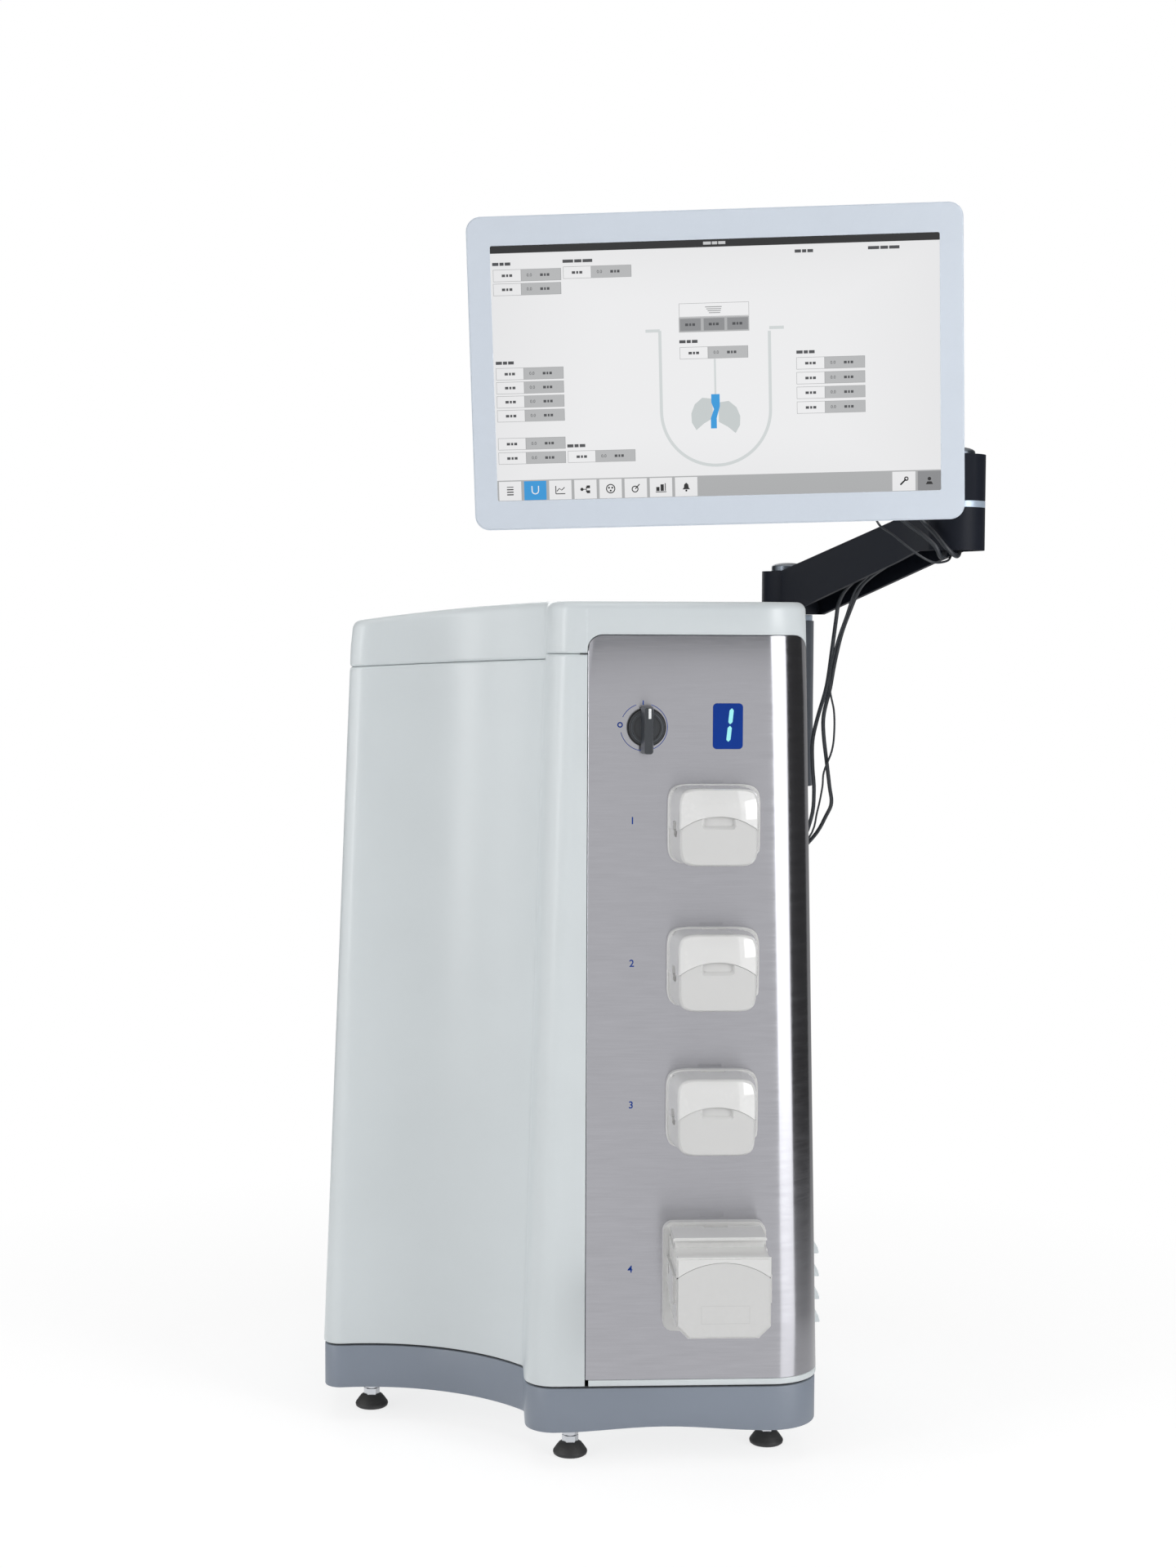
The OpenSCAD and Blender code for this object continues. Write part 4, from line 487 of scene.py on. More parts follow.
steel_front = brushed_steel("brushed stainless front", paint(168, 168, 173), 0.2, 0.14)
print("made", steel_front.name)

# %% [markdown]
# The cabinet is a vacuum-formed skin. Its outline, seen from above, is a chain of arcs and
# straights that leans in a little towards the top. The chain is written here as named stretches,
# so that a loft can put as many columns of vertices on each as its curve needs: many on the round
# column and in the vessel nook, few on a straight.

# %% The cabinet's outline
HIGH, DEEP, SHELL_FOOT, SEAM = 760, 380, 74, 715
CORNER_R, COLUMN_R, WING_R, KINK_R, BACK_R, NOOK_R = 44, 27, 16, 12, 20, 182
BEND = 82.4
NOOK_CENTRE = (-147, -46)
EDGE_GAP = 0.3


def lean(z, low, high):
    return low + (high - low) * max(0, min(1, (z - SHELL_FOOT) / (HIGH - SHELL_FOOT)))


def right_x(z):
    return lean(z, 209, 193)


def column_x(z):
    return lean(z, -53, -34)


def wing_x(z):
    return lean(z, -236, -208)


def on_arc(centre, radius, degrees):
    a = math.radians(degrees)
    return centre[0] + radius * math.cos(a), centre[1] + radius * math.sin(a)


def mix(a, b, t):
    return a + (b - a) * t


def plan_point(stretch, t, z, d):
    """The point at share t of a stretch of the outline at height z, set in by d."""
    nook = (column_x(z) + NOOK_CENTRE[0], NOOK_CENTRE[1])
    wing_cx = wing_x(z) + WING_R
    wing = (wing_cx, nook[1] + math.sqrt((NOOK_R + WING_R) ** 2 - (wing_cx - nook[0]) ** 2))
    kink_cx = column_x(z) - KINK_R
    kink = (kink_cx, nook[1] + math.sqrt((NOOK_R - KINK_R) ** 2 - (kink_cx - nook[0]) ** 2))
    wing_turn = math.degrees(math.atan2(nook[1] - wing[1], nook[0] - wing[0])) + 360
    kink_turn = math.degrees(math.atan2(kink[1] - nook[1], kink[0] - nook[0]))
    corner = (right_x(z) - CORNER_R, CORNER_R)
    if stretch == "steel":
        return mix(-EDGE_GAP, corner[0], t), d
    if stretch == "bend":
        return on_arc(corner, CORNER_R - d, -90 + BEND * t)
    if stretch == "corner":
        return on_arc(corner, CORNER_R - d, mix(BEND - 90, 0, t))
    if stretch == "right side":
        return right_x(z) - d, mix(CORNER_R, DEEP - BACK_R, t)
    if stretch == "right back":
        return on_arc((right_x(z) - BACK_R, DEEP - BACK_R), BACK_R - d, 90 * t)
    if stretch == "back":
        return mix(right_x(z) - BACK_R, wing_x(z) + BACK_R, t), DEEP - d
    if stretch == "left back":
        return on_arc((wing_x(z) + BACK_R, DEEP - BACK_R), BACK_R - d, 90 + 90 * t)
    if stretch == "wing side":
        return wing_x(z) + d, mix(DEEP - BACK_R, wing[1], t)
    if stretch == "wing":
        return on_arc(wing, WING_R - d, mix(180, wing_turn, t))
    if stretch == "nook":
        return on_arc(nook, NOOK_R + d, mix(wing_turn - 180, kink_turn, t))
    if stretch == "kink":
        return on_arc(kink, KINK_R + d, mix(kink_turn, 0, t))
    if stretch == "flank":
        return column_x(z) + d, mix(kink[1], COLUMN_R, t)
    if stretch == "column":
        return on_arc((column_x(z) + COLUMN_R, COLUMN_R), COLUMN_R - d, 180 + 90 * t)
    if stretch == "back at":
        return t, DEEP - d
    if stretch == "front at":
        return t, d
    return mix(column_x(z) + COLUMN_R, -EDGE_GAP, t), d


def columns(**steps):
    """Columns of vertices: each stretch with its steps, its last point left to the next."""
    return [(name.replace("_", " "), k / n) for name, n in steps.items() for k in range(n)]


LEFT_STEPS = dict(left_back=8, wing_side=4, wing=16, nook=48, kink=8, flank=3, column=22)
BEHIND = dict(corner=12, right_side=6, right_back=8, back=6) | LEFT_STEPS
wing_corner = plan_point("wing", 0, SHELL_FOOT, 0)
print("the wing's corner at its foot:", tuple(round(x, 1) for x in wing_corner))

# %% [markdown]
# A loft joins rows of such points into quads. Each row says its height and how far it is set in, so
# a rounded rim, a groove or a folded-in lip is only a few more rows. Heights may depend on the
# column, which lets the seam between shell and lid rise and fall.

# %% Loft helper
def loft(bm, column_list, rows, closed):
    """rows: functions of (stretch, t) that give (x, y, z) on the drawing. Gives the vertices."""
    grid = [[bm.verts.new(at(*row(*c))) for c in column_list] for row in rows]
    n = len(column_list)
    for low, high in zip(grid, grid[1:]):
        for k in range(n if closed else n - 1):
            corners = (low[k], low[(k + 1) % n], high[(k + 1) % n], high[k])
            if len({tuple(round(x, 7) for x in v.co) for v in corners}) >= 3:
                bm.faces.new(corners)
    return grid


def row(z, d):
    """A row at height z, or at z(stretch, t), set in by d. A column may be set in by more."""
    def point(stretch, t, more=0):
        height = z(stretch, t) if callable(z) else z
        return (*plan_point(stretch, t, height, d + more), height)
    return point


MESH_SHARP, NODE_SHARP = math.radians(35), math.radians(38)


def add_piece(name, bm, material, body, stands_for=()):
    piece = mesh_piece(name, bm, material)
    piece.data.set_sharp_from_angle(angle=MESH_SHARP)
    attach(piece, body)
    if stands_for:
        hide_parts(*stands_for)
    print(piece.name, "has", len(piece.data.polygons), "faces")


def wing_share(x):
    return max(0, (x - column_x(HIGH)) / (wing_x(HIGH) - column_x(HIGH)))


WING_FALL, SEAM_STEP, SEAM_FALL = 18, 5.5, 9


def top_z(x):
    s = wing_share(x)
    return HIGH - WING_FALL * (0.55 * s + 0.45 * s * s)


def seam_z(stretch, t):
    """Level on the column and the right side, a step lower in the nook, falling to the wing."""
    x = plan_point(stretch, t, SEAM, 0)[0]
    if stretch in ("column", "to steel", "corner", "right side"):
        step = 0
    else:
        step = 1 if stretch in ("nook", "kink", "flank", "wing") else wing_share(x)
    return SEAM - SEAM_STEP * step - SEAM_FALL * wing_share(x)


print("seam at the column and the wing:", seam_z("column", 0.5), round(seam_z("wing", 0.2), 1))

# %% [markdown]
# The body shell runs from the steel's bent edge round the right side, back, wing and nook to the
# steel's left edge. It is one open strip, folded inwards where the steel sits in it. The openings
# for the back panel and the louvred vent are rows and columns of faces left out, with the skin's
# thickness folded in behind them.

# %% Body shell
def fold_in(bm, faces, depth):
    """Leaves out these faces and folds the edge round the hole in by depth, a vector."""
    rim = [e for e in bm.edges if sum(f in faces for f in e.link_faces) == 1]
    bmesh.ops.delete(bm, geom=faces, context="FACES")
    grown = bmesh.ops.extrude_edge_only(bm, edges=rim)
    for v in (g for g in grown["geom"] if isinstance(g, bmesh.types.BMVert)):
        v.co += depth


def faces_where(bm, test):
    """The faces whose middle, as (x, y, z) on the drawing, passes the test."""
    middles = ((f, f.calc_center_median() * 1000) for f in bm.faces)
    return [f for f, c in middles if test(c.x - FOOT[0], c.y - FOOT[1], c.z)]


def side_share(y):
    return (y - CORNER_R) / (DEEP - BACK_R - CORNER_R)


SKIN = 3.5
VENT = (52, 162)
VENT_Z = (98, 194)
BACK_OPENING = (-171.8, 114)
BACK_OPENING_Z = (118, 680)
BACK = [("back at", x) for x in (BACK_OPENING[1], 75, 35, -5, -45, -85, -130, BACK_OPENING[0])]
WOUND = columns(**LEFT_STEPS)
strip = [("corner", 0, SKIN), ("corner", 0, 0.5), ("corner", 0.004, 0.1)]
strip += [("corner", k / 4) for k in range(1, 4)]
strip += [("right side", side_share(y)) for y in (CORNER_R, *VENT, 270)]
strip += [("right back", k / 8) for k in range(9)] + BACK
strip += WOUND + [("to steel", k / 4) for k in range(4)]
strip += [("to steel", 0.995, 0.1), ("to steel", 1, 0.5), ("to steel", 1, SKIN)]
rims = ((3.2, 0), (2.2, 0.15), (1.3, 0.5), (0.7, 1.0), (0.3, 1.9), (0.3, SKIN), (30, SKIN))
hem = ((0, 9), (0, 1.2), (0.2, 0.6), (0.6, 0.2), (1.6, 0))
hem_rows = [row(SHELL_FOOT + up, d) for up, d in hem]
shell_rows = hem_rows + [row(z, 0) for z in (98, 118, 194, 300, 420, 540, 640, 680.5)]
shell_rows += [row(lambda s, t, drop=drop: seam_z(s, t) - drop, d) for drop, d in rims]
bm = bmesh.new()
loft(bm, strip, shell_rows, closed=False)
fold_in(bm, faces_where(bm, lambda x, y, z: (
    y > DEEP - 0.5 and BACK_OPENING[0] < x < BACK_OPENING[1]
    and BACK_OPENING_Z[0] < z < BACK_OPENING_Z[1])), Vector((0, mm(-SKIN), 0)))
fold_in(bm, faces_where(bm, lambda x, y, z: (
    x > 190 and VENT[0] < y < VENT[1] and VENT_Z[0] < z < VENT_Z[1])), Vector((mm(-SKIN), 0, 0)))
sill = [("front at", 3, SKIN), ("front at", 3, 0.4), ("front at", 3.4, 0)]
sill += [("front at", x) for x in (60, 110, 150)] + columns(bend=10) + [("bend", 1)]
sill_rows = hem_rows + [row(z, d) for z, d in ((78.9, 0), (79.4, 0.2), (79.7, 0.7), (79.7, 9))]
loft(bm, sill, sill_rows, closed=False)
add_piece("cabinet_shell", bm, shell_white, "cabinet", stands_for=["body_shell"])

# %% [markdown]
# The lid is the same skin turned over: it starts at the seam with a rounded, folded rim, climbs to
# a soft top edge, and closes over the cabinet, falling off towards the wing. In front it makes room
# for the steel's rounded top corners. There each column of vertices starts at the notch's edge
# instead of at the seam, and a column is doubled where the edge jumps from one to the other.

# %% Lid
STEEL_TOP, STEEL_R = 731, 13
NOTCH = STEEL_TOP + EDGE_GAP
LID_EDGE_R = 7.5
LID_MIDDLE = (60, 228)


def rounded_top(level, near):
    """The height of a rounded top corner, this far in from its side."""
    return level - STEEL_R + math.sqrt(max(0, STEEL_R ** 2 - (STEEL_R - near) ** 2))


def notch_z(x):
    right = plan_point("bend", 1, STEEL_TOP, 0)[0]
    beyond = max(EDGE_GAP + x, 0) if x < STEEL_R - EDGE_GAP else STEEL_R
    return rounded_top(NOTCH, min(beyond, max(right - x, 0), STEEL_R))


def lid_foot(stretch, t):
    if stretch in ("notch", "notch bend"):
        return notch_z(plan_point("front at" if stretch == "notch" else "bend", t, STEEL_TOP, 0)[0])
    return seam_z(stretch, t)


def lid_point(stretch, t, z, d):
    return plan_point({"notch": "front at", "notch bend": "bend"}.get(stretch, stretch), t, z, d)


def lid_row(z, d):
    def point(stretch, t):
        height = z(stretch, t)
        return (*lid_point(stretch, t, height, d), height)
    return point


def lid_edge(a):
    def point(stretch, t):
        x, y = lid_point(stretch, t, HIGH, LID_EDGE_R * (1 - math.cos(a)))
        return x, y, top_z(x) - LID_EDGE_R * (1 - math.sin(a))
    return point


def lid_top(k):
    def point(stretch, t):
        x, y = lid_point(stretch, t, HIGH, LID_EDGE_R)
        x, y = mix(LID_MIDDLE[0], x, k), mix(LID_MIDDLE[1], y, k)
        return x, y, top_z(x)
    return point


ring = columns(corner=4, right_side=5, right_back=8) + [("right back", 1)] + BACK + WOUND
ring += columns(to_steel=4) + [("to steel", 1)]
ring += [("notch", -EDGE_GAP + STEEL_R * (1 - math.cos(math.radians(a)))) for a in range(0, 91, 9)]
ring += [("notch", x) for x in (40, 75, 110, 135)]
ring += [("notch bend", math.sin(math.radians(4.5 * k))) for k in range(21)]
rims = ((30, 0, SKIN), (0, 0, SKIN), (0, 0, 1.9), (0.5, 0.15, 1.0), (1.2, 0.3, 0.45),
        (2.1, 0.5, 0.12), (3.2, 0.7, 0))


def foot_row(rise, notch_rise, d):
    def height(stretch, t):
        return lid_foot(stretch, t) + (notch_rise if stretch.startswith("notch") else rise)
    return lid_row(height, d)


lid_rows = [foot_row(rise, notch_rise, d) for rise, notch_rise, d in rims]
lid_rows.append(lid_row(lambda s, t: mix(
    lid_foot(s, t) + 4, HIGH - 10 - WING_FALL * wing_share(lid_point(s, t, HIGH, 0)[0]), 0.5), 0))
lid_rows += [lid_edge(math.radians(a)) for a in range(0, 91, 10)]
lid_rows += [lid_top(k) for k in (0.93, 0.8, 0.6, 0.4, 0.2)]
bm = bmesh.new()
grid = loft(bm, ring, lid_rows, closed=True)
bm.faces.new(grid[-1])
add_piece("cabinet_lid", bm, shell_white, "cabinet", stands_for=["lid"])

# %% [markdown]
# The skirt is a plain grey moulding under the shell, set back by a millimetre. Its lower edge
# arches up between the front feet.

# %% Skirt
SKIRT_FOOT, ARCH_RISE, ARCH_LEFT, ARCH_SPAN = 32.5, 4.5, -26, 191


def skirt_z(rise):
    def height(stretch, t):
        x, y = plan_point(stretch, t, SHELL_FOOT, 0)
        arch = ARCH_RISE * math.sin(math.pi * (x - ARCH_LEFT) / ARCH_SPAN) ** 2 if y < 0.01 else 0
        return SKIRT_FOOT + rise + arch
    return height


def skirt_row(z, d):
    def point(stretch, t):
        return (*plan_point(stretch, t, SHELL_FOOT, d), z(stretch, t) if callable(z) else z)
    return point


skirt_rows = [skirt_row(z, d) for z, d in (
    (40, 5.5), (skirt_z(0), 5), (skirt_z(0), 2.2), (skirt_z(0.3), 1.5), (skirt_z(1.2), 1), (50, 1),
    (70.8, 1), (71.7, 1.3), (72, 2), (72, 9))]
bm = bmesh.new()
loft(bm, columns(**BEHIND, to_steel=2, steel=12, bend=14), skirt_rows, closed=True)
add_piece("cabinet_skirt", bm, skirt_grey, "cabinet", stands_for=["base_skirt"])

# %% [markdown]
# The steel front is one sheet folded back at its left edge and rolled round the cabinet's corner on
# the right. Its upper corners are rounded. The rolled part is what makes it read as steel: it
# gathers the whole studio into one bright band and one dark one.

# %% Steel front
STEEL_FOOT = 80


def steel_top(stretch, t):
    if stretch == "fold":
        return STEEL_TOP - STEEL_R
    x = lid_point(stretch, t, STEEL_TOP, 0)[0]
    right = plan_point("bend", 1, STEEL_TOP, 0)[0]
    return rounded_top(STEEL_TOP, min(x, max(right - x, 0), STEEL_R))


def steel_point(stretch, t, z, d):
    if stretch == "fold":
        return (d, 14) if t == 0 else on_arc((1.2, 1.2), 1.2 - min(d, 1.1), 180 + 90 * t)
    return lid_point(stretch, t * (0.994 if stretch == "notch bend" else 1), z, d)


def steel_row(share, down, d):
    def point(stretch, t):
        z = mix(STEEL_FOOT, steel_top(stretch, t), share) + down
        return (*steel_point(stretch, t, z, d), z)
    return point


face = [("fold", 0), ("fold", 0.001), ("fold", 0.33), ("fold", 0.66)]
face += [("notch", 1.2 + 11.8 * (1 - math.cos(math.radians(a)))) for a in range(0, 91, 9)]
face += [("notch", x) for x in (30, 50, 70, 90, 110, 130, 148)]
face += [("notch bend", math.sin(math.radians(3 * k))) for k in range(31)]
EDGE = ((0, 1.5), (0, 0.35), (0.1, 0.1), (0.4, 0))
steel_rows = [steel_row(0, up, d) for up, d in EDGE]
steel_rows += [steel_row(k / 12, 0, 0) for k in range(1, 12)]
steel_rows += [steel_row(1, -down, d) for down, d in EDGE[::-1]]
bm = bmesh.new()
loft(bm, face, steel_rows, closed=False)
add_piece("steel_front", bm, steel_front, "cabinet", stands_for=["front_panel"])

# %% [markdown]
# The CAD nodes that already have the right shape keep it, and get a finish. Modifiers soften them
# without touching their meshes: duplicate corners are welded, flat triangles are joined into whole
# faces, and the sharp edges get the small radius that a mould or a file gives them, which is what
# catches the light along an edge.

# %% Finish the CAD nodes
def soften(node, radius):
    welded = node.modifiers.new("weld", "WELD")
    welded.merge_threshold = 0.00002
    joined = node.modifiers.new("join flats", "DECIMATE")
    joined.decimate_type = "DISSOLVE"
    joined.angle_limit = math.radians(0.6)
    rounded = node.modifiers.new("round edges", "BEVEL")
    rounded.width = mm(radius)
    rounded.segments = 2
    rounded.limit_method = "ANGLE"
    rounded.angle_limit = NODE_SHARP
    rounded.harden_normals = False
    rounded.use_clamp_overlap = True
    node.modifiers.new("even shading", "WEIGHTED_NORMAL").keep_sharp = True


def dress(names, material, radius=0.0):
    for name in names:
        node = nodes[name]
        node.data.materials.clear()
        node.data.materials.append(material)
        node.data.shade_smooth()
        node.data.set_sharp_from_angle(angle=NODE_SHARP)
        if radius:
            soften(node, radius)


PUMPS = range(1, 5)
dress([f"pump_{i}_cover" for i in PUMPS if i < 4], pump_white, 0.8)
dress(["pump_4_cover"], visor_white, 0.5)
dress([f"pump_{i}_body" for i in PUMPS], pump_grey, 0.8)
dress([f"pump_{i}_rotor" for i in PUMPS], rotor_grey, 0.4)
dress([f"pump_{i}_motor" for i in PUMPS], motor_dark, 0.4)
dress(["lower_arm", "upper_arm", "head_swivel", "tilt_knuckle", "vesa_plate"], arm_black, 0.8)
dress(["pole"], pole_grey, 0.5)
dress(["pole_bracket"], arm_black, 0.6)
dress(["pole_washer", "elbow_washer"], washer_blue, 0.4)
dress(["pole_cap", "elbow_bolt"], cap_metal, 0.4)
dress(["monitor_back", "monitor_bezel"], bezel_light, 0.8)
dress(
    ["switch_bezel", "switch_block", "digit_display", "fan_frame", "fan_rotor", "mains_inlet",
     "cable_glands"],
    switch_black, 0.3)
dress(["switch_knob"], knob_slate, 0.6)
dress(["foot_pads"], pad_rubber, 0.7)
dress(["foot_spindles", "foot_locknuts", "panel_screws"], zinc_plate, 0.3)
dress(["seam_gasket"], gasket_black)
dress(["side_vent"], shell_white, 0.3)
dress(["base_plate", "back_panel", "power_supply"], sheet_steel, 0.3)
dress(["control_board"], board_green)
dress(["gas_manifold"], alu, 0.4)
dress(["touch_screen"], glass_black, 0.3)
print("dressed", sum(1 for n in nodes.values() if n.data.materials), "CAD nodes")

# %% [markdown]
# Prints and screen fields are thin: a print is a few hundredths of a millimetre of ink. Each is a
# flat prism standing a hair proud of its carrier. A matrix says where the carrier's face is, so a
# mark is given by what a draughtsman would write: right and down, or right and up, in millimetres
# on that face.

# %% Flat marks
SIZE_PER_HEIGHT = 1.38


def prism(bm, place, outline, back, front, tone=0):
    """A flat closed mark: outline of (x, z) on the face, from depth back to front.

    Depths are negative towards the viewer."""
    rings = [[bm.verts.new(place @ Vector(mm(x, depth, z))) for x, z in outline]
             for depth in (back, front)]
    faces = [bm.faces.new(rings[0]), bm.faces.new(rings[1][::-1])]
    n = len(outline)
    faces += [bm.faces.new((rings[0][k], rings[1][k], rings[1][(k + 1) % n], rings[0][(k + 1) % n]))
              for k in range(n)]
    for f in faces:
        f.material_index = tone


def oblong(x, z, width, height):
    return [(x, z), (x + width, z), (x + width, z + height), (x, z + height)]


def disc(x, z, radius, steps=24):
    return [on_arc((x, z), radius, 360 * k / steps) for k in range(steps)]


def band(points, width):
    """The outline of a line so wide along the points."""
    sides = ([], [])
    for i, (x, z) in enumerate(points):
        (x0, z0), (x1, z1) = points[max(i - 1, 0)], points[min(i + 1, len(points) - 1)]
        length = math.hypot(x1 - x0, z1 - z0)
        across_x, across_z = (z0 - z1) / length * width / 2, (x1 - x0) / length * width / 2
        sides[0].append((x + across_x, z + across_z))
        sides[1].append((x - across_x, z - across_z))
    return sides[0] + sides[1][::-1]


def arc_points(x, z, radius, start, end, steps):
    return [on_arc((x, z), radius, mix(start, end, k / steps)) for k in range(steps + 1)]


def numeral(bm, place, text, x, z, height, depth, front, tone=0, bold=0.0):
    """A plain number, middle at (x, z) on the face, as a thin solid. Bold widens its strokes."""
    letters = bpy.data.curves.new("numeral", "FONT")
    letters.body, letters.size = text, height * SIZE_PER_HEIGHT
    letters.align_x = letters.align_y = "CENTER"
    letters.extrude, letters.resolution_u, letters.offset = depth / 2, 3, bold
    holder = bpy.data.objects.new("numeral", letters)
    mesh = bpy.data.meshes.new_from_object(holder)
    before = len(bm.faces)
    bm.from_mesh(mesh)
    bm.faces.ensure_lookup_table()
    fresh = bm.faces[before:]
    for v in {v for f in fresh for v in f.verts}:
        v.co = place @ Vector(mm(x + v.co.x, front + depth / 2 - v.co.z, z + v.co.y))
    for f in fresh:
        f.material_index = tone
    bpy.data.objects.remove(holder)
    bpy.data.curves.remove(letters)
    bpy.data.meshes.remove(mesh)


front_face = Matrix.Translation(at(0, 0, 0))


def marks(name, outlines, back, front, material, body):
    """One piece with all these outlines as prisms on the steel's face."""
    bm = bmesh.new()
    for outline in outlines:
        prism(bm, front_face, outline, back, front)
    add_piece(name, bm, material, body)


def ring_mark(x, z, radius, width=0.8, steps=20):
    """A ring, left open by a hair so that its outline doesn't touch itself."""
    return band(arc_points(x, z, radius, 0, 359.9, steps), width)


print("marks on the steel are placed from", tuple(front_face.translation))

# %% [markdown]
# The marks on the steel are screen-printed blue: a broken ring round the switch with its off and
# on signs, and the numbers of the four pumps. Ink is a little uneven. The dark slit at the seam's
# left end and the knob's white pointer are made the same way, and so is a painted highlight: a
# pale grey ring at the knob's edge that stands for the glint of light along it.

# %% Prints on the steel and the knob, and the knob's painted highlight
ink_blue = coated(
    "blue screen print ink", paint(14, 60, 148), 0.42, peel=1800, bump=0.01, vary=0.06, dust=0.0,
    wear=0.0, gleam=0.15)
INK = 0.05
SWITCH, DIAL, DIAL_R = (50.5, 652), (48.5, 652), 20.3
PUMP_Z = (569, 445, 321, 176)
bm = bmesh.new()
for start, end in ((72.6, -167.5), (154.6, 109.6)):
    prism(bm, front_face, band(arc_points(*DIAL, DIAL_R, start, end, 64), 0.55), 0, -INK)
prism(bm, front_face, oblong(DIAL[0] - 1.2, DIAL[1] + 19.2, 0.9, 3.9), 0, -INK)
prism(bm, front_face, ring_mark(DIAL[0] - 20.6, DIAL[1] + 2, 1.9, 1.1, 32), 0, -INK)
for number, z in enumerate(PUMP_Z, start=1):
    numeral(bm, front_face, str(number), 39, z + 2, 6.4, INK, -INK, bold=0.12)
add_piece("blue_prints", bm, ink_blue, "cabinet")
PRINT = dict(dust=0.0, wear=0.0)
marks("seam_slit", [oblong(-7, 714.4, 6.5, 1.0)], 0.3, -0.02, gasket_black, "cabinet")
mark_white = coated(
    "white print ink", paint(226, 228, 228), 0.4, peel=1800, bump=0.01, vary=0.02, **PRINT)
marks(
    "pointer_mark", [oblong(SWITCH[0] - 0.25, SWITCH[1] + 8.4, 2.3, 8.6)], -30, -30.05, mark_white,
    "knob")
# Painted highlight: a pale grey ring at the knob's edge, drawn in place of the glint of light along
# it.
knob_highlight_grey = coated(
    "knob's painted highlight ring", paint(92, 98, 104), 0.3, peel=900, bump=0.01, vary=0.05, **PRINT)
marks(
    "knob_painted_highlight", [ring_mark(*SWITCH, 13.4, 0.5, 72)], -9, -9.25, knob_highlight_grey, "knob")

# %% [markdown]
# The unit number is a one-digit display behind a blue acrylic window. The digit's segments glow
# through it. Its two upright segments are slanted and cut to points, as on any such display.

# %% Unit display
def glowing(name, colour, strength):
    material, tree, shader = new_material(
        name, Base_Color=scaled(colour, 0.2), Roughness=0.2, Emission_Strength=strength)
    skin = use(tree, moulded, Mottle_per_m=160.0)
    shade = blend_of(tree, skin.outputs["Mottle"], scaled(colour, 0.9), list(colour))
    tree.links.new(shade, shader.inputs["Emission Color"])
    return material


window_blue = coated(
    "blue acrylic window", paint(3, 50, 134), 0.12, coat=0.1, peel=200, bump=0.004, vary=0.1,
    dust=0.0, wear=0.0, gleam=0.1)
segment_glow = glowing("lit segment", paint(148, 226, 228), 1.0)
WINDOW = (121, 653)
SEGMENT = [(-1.8, -5.1), (0, -6.9), (1.8, -5.1), (1.8, 5.1), (0, 6.9), (-1.8, 5.1)]
LEAN = 0.105
digit = [[(WINDOW[0] + dx + x + LEAN * z, WINDOW[1] + dz + z) for x, z in SEGMENT]
         for dx, dz in ((2.6, 8.6), (1.0, -6.5))]
marks("unit_digit", digit, -0.9, -1.02, segment_glow, "cabinet")
dress(["display_window"], window_blue, 0.25)

# %% [markdown]
# The large pump's front has a bare label, a frame of fine lines.

# %% Label on the large pump
LABEL_X, LABEL_Z, LABEL_W, LABEL_H, LABEL_LINE, PUMP_FRONT = 93, 154.4, 41, 15.5, 0.4, -88
label_line = coated(
    "fine label line", paint(186, 186, 185), 0.35, peel=900, bump=0.005, vary=0.01, **PRINT)
label = [oblong(LABEL_X, z, LABEL_W, LABEL_LINE) for z in (LABEL_Z, LABEL_Z + LABEL_H - LABEL_LINE)]
label += [oblong(x, LABEL_Z + LABEL_LINE, LABEL_LINE, LABEL_H - 2 * LABEL_LINE)
          for x in (LABEL_X, LABEL_X + LABEL_W - LABEL_LINE)]
marks("label_frame", label, PUMP_FRONT, PUMP_FRONT - INK, label_line, "cabinet")

# %% [markdown]
# The touch monitor shows a process overview. It is drawn as fields of colour on the glass: a dark
# title bar, white and grey boxes in groups, a vessel outline with a stirrer, and a bar of buttons.
# Writing is left out; short bars hold its place, and the values are plain zeros. Every field shines
# by itself, as a lit panel does, a little weaker towards the edges.

# %% Monitor's place
POLE, LOWER_L, LOWER_TURN, UPPER_L, UPPER_TURN = (225, 403), 333, -70.9, 282, 214.6
HEAD = on_arc(on_arc(POLE, LOWER_L, LOWER_TURN), UPPER_L, UPPER_TURN)
HEAD_Z, KNUCKLE, FACE_AHEAD = 929.9, (0, -38, 16.2), (0, -72, 0)
PAN, TILT, ROLL = -6.3, 4.8, -1.5


def turn_about(axis, degrees):
    return Matrix.Rotation(math.radians(degrees), 4, axis)


monitor_face = (Matrix.Translation(at(*HEAD, HEAD_Z)) @ turn_about("Z", PAN)
                @ Matrix.Translation(mm(*KNUCKLE)) @ turn_about("X", TILT) @ turn_about("Y", ROLL)
                @ Matrix.Translation(mm(*FACE_AHEAD)))
GLASS_W, GLASS_H, GLASS_Y = 348, 197.5, 0.6
screen_face = monitor_face @ Matrix.Translation(mm(-GLASS_W / 2, GLASS_Y, GLASS_H / 2))
print("monitor's face is at", tuple(round(x, 3) for x in monitor_face.translation))

# %% Group: backlight
backlight, group_in, group_out = new_group("backlight", {"Edge": 0.88}, ["Glow"])
lamp_spot = put(backlight, "SeparateXYZ", {"Vector": put(backlight, "TexCoord").outputs["Object"]})
middle = screen_face @ Vector(mm(GLASS_W / 2, 0, -GLASS_H / 2))
far = []
for axis, half in (("X", GLASS_W / 2), ("Z", GLASS_H / 2)):
    off = calc(backlight, "SUBTRACT", lamp_spot.outputs[axis], getattr(middle, axis.lower()))
    far.append(calc(backlight, "POWER", calc(backlight, "DIVIDE", off, mm(half)), 2.0))
square = calc(backlight, "MAXIMUM", *far)
glow = remap(backlight, square, 0.25, 1.0, 1.0, group_in.outputs["Edge"])
backlight.links.new(glow, group_out.inputs["Glow"])
print("group:", backlight.name)


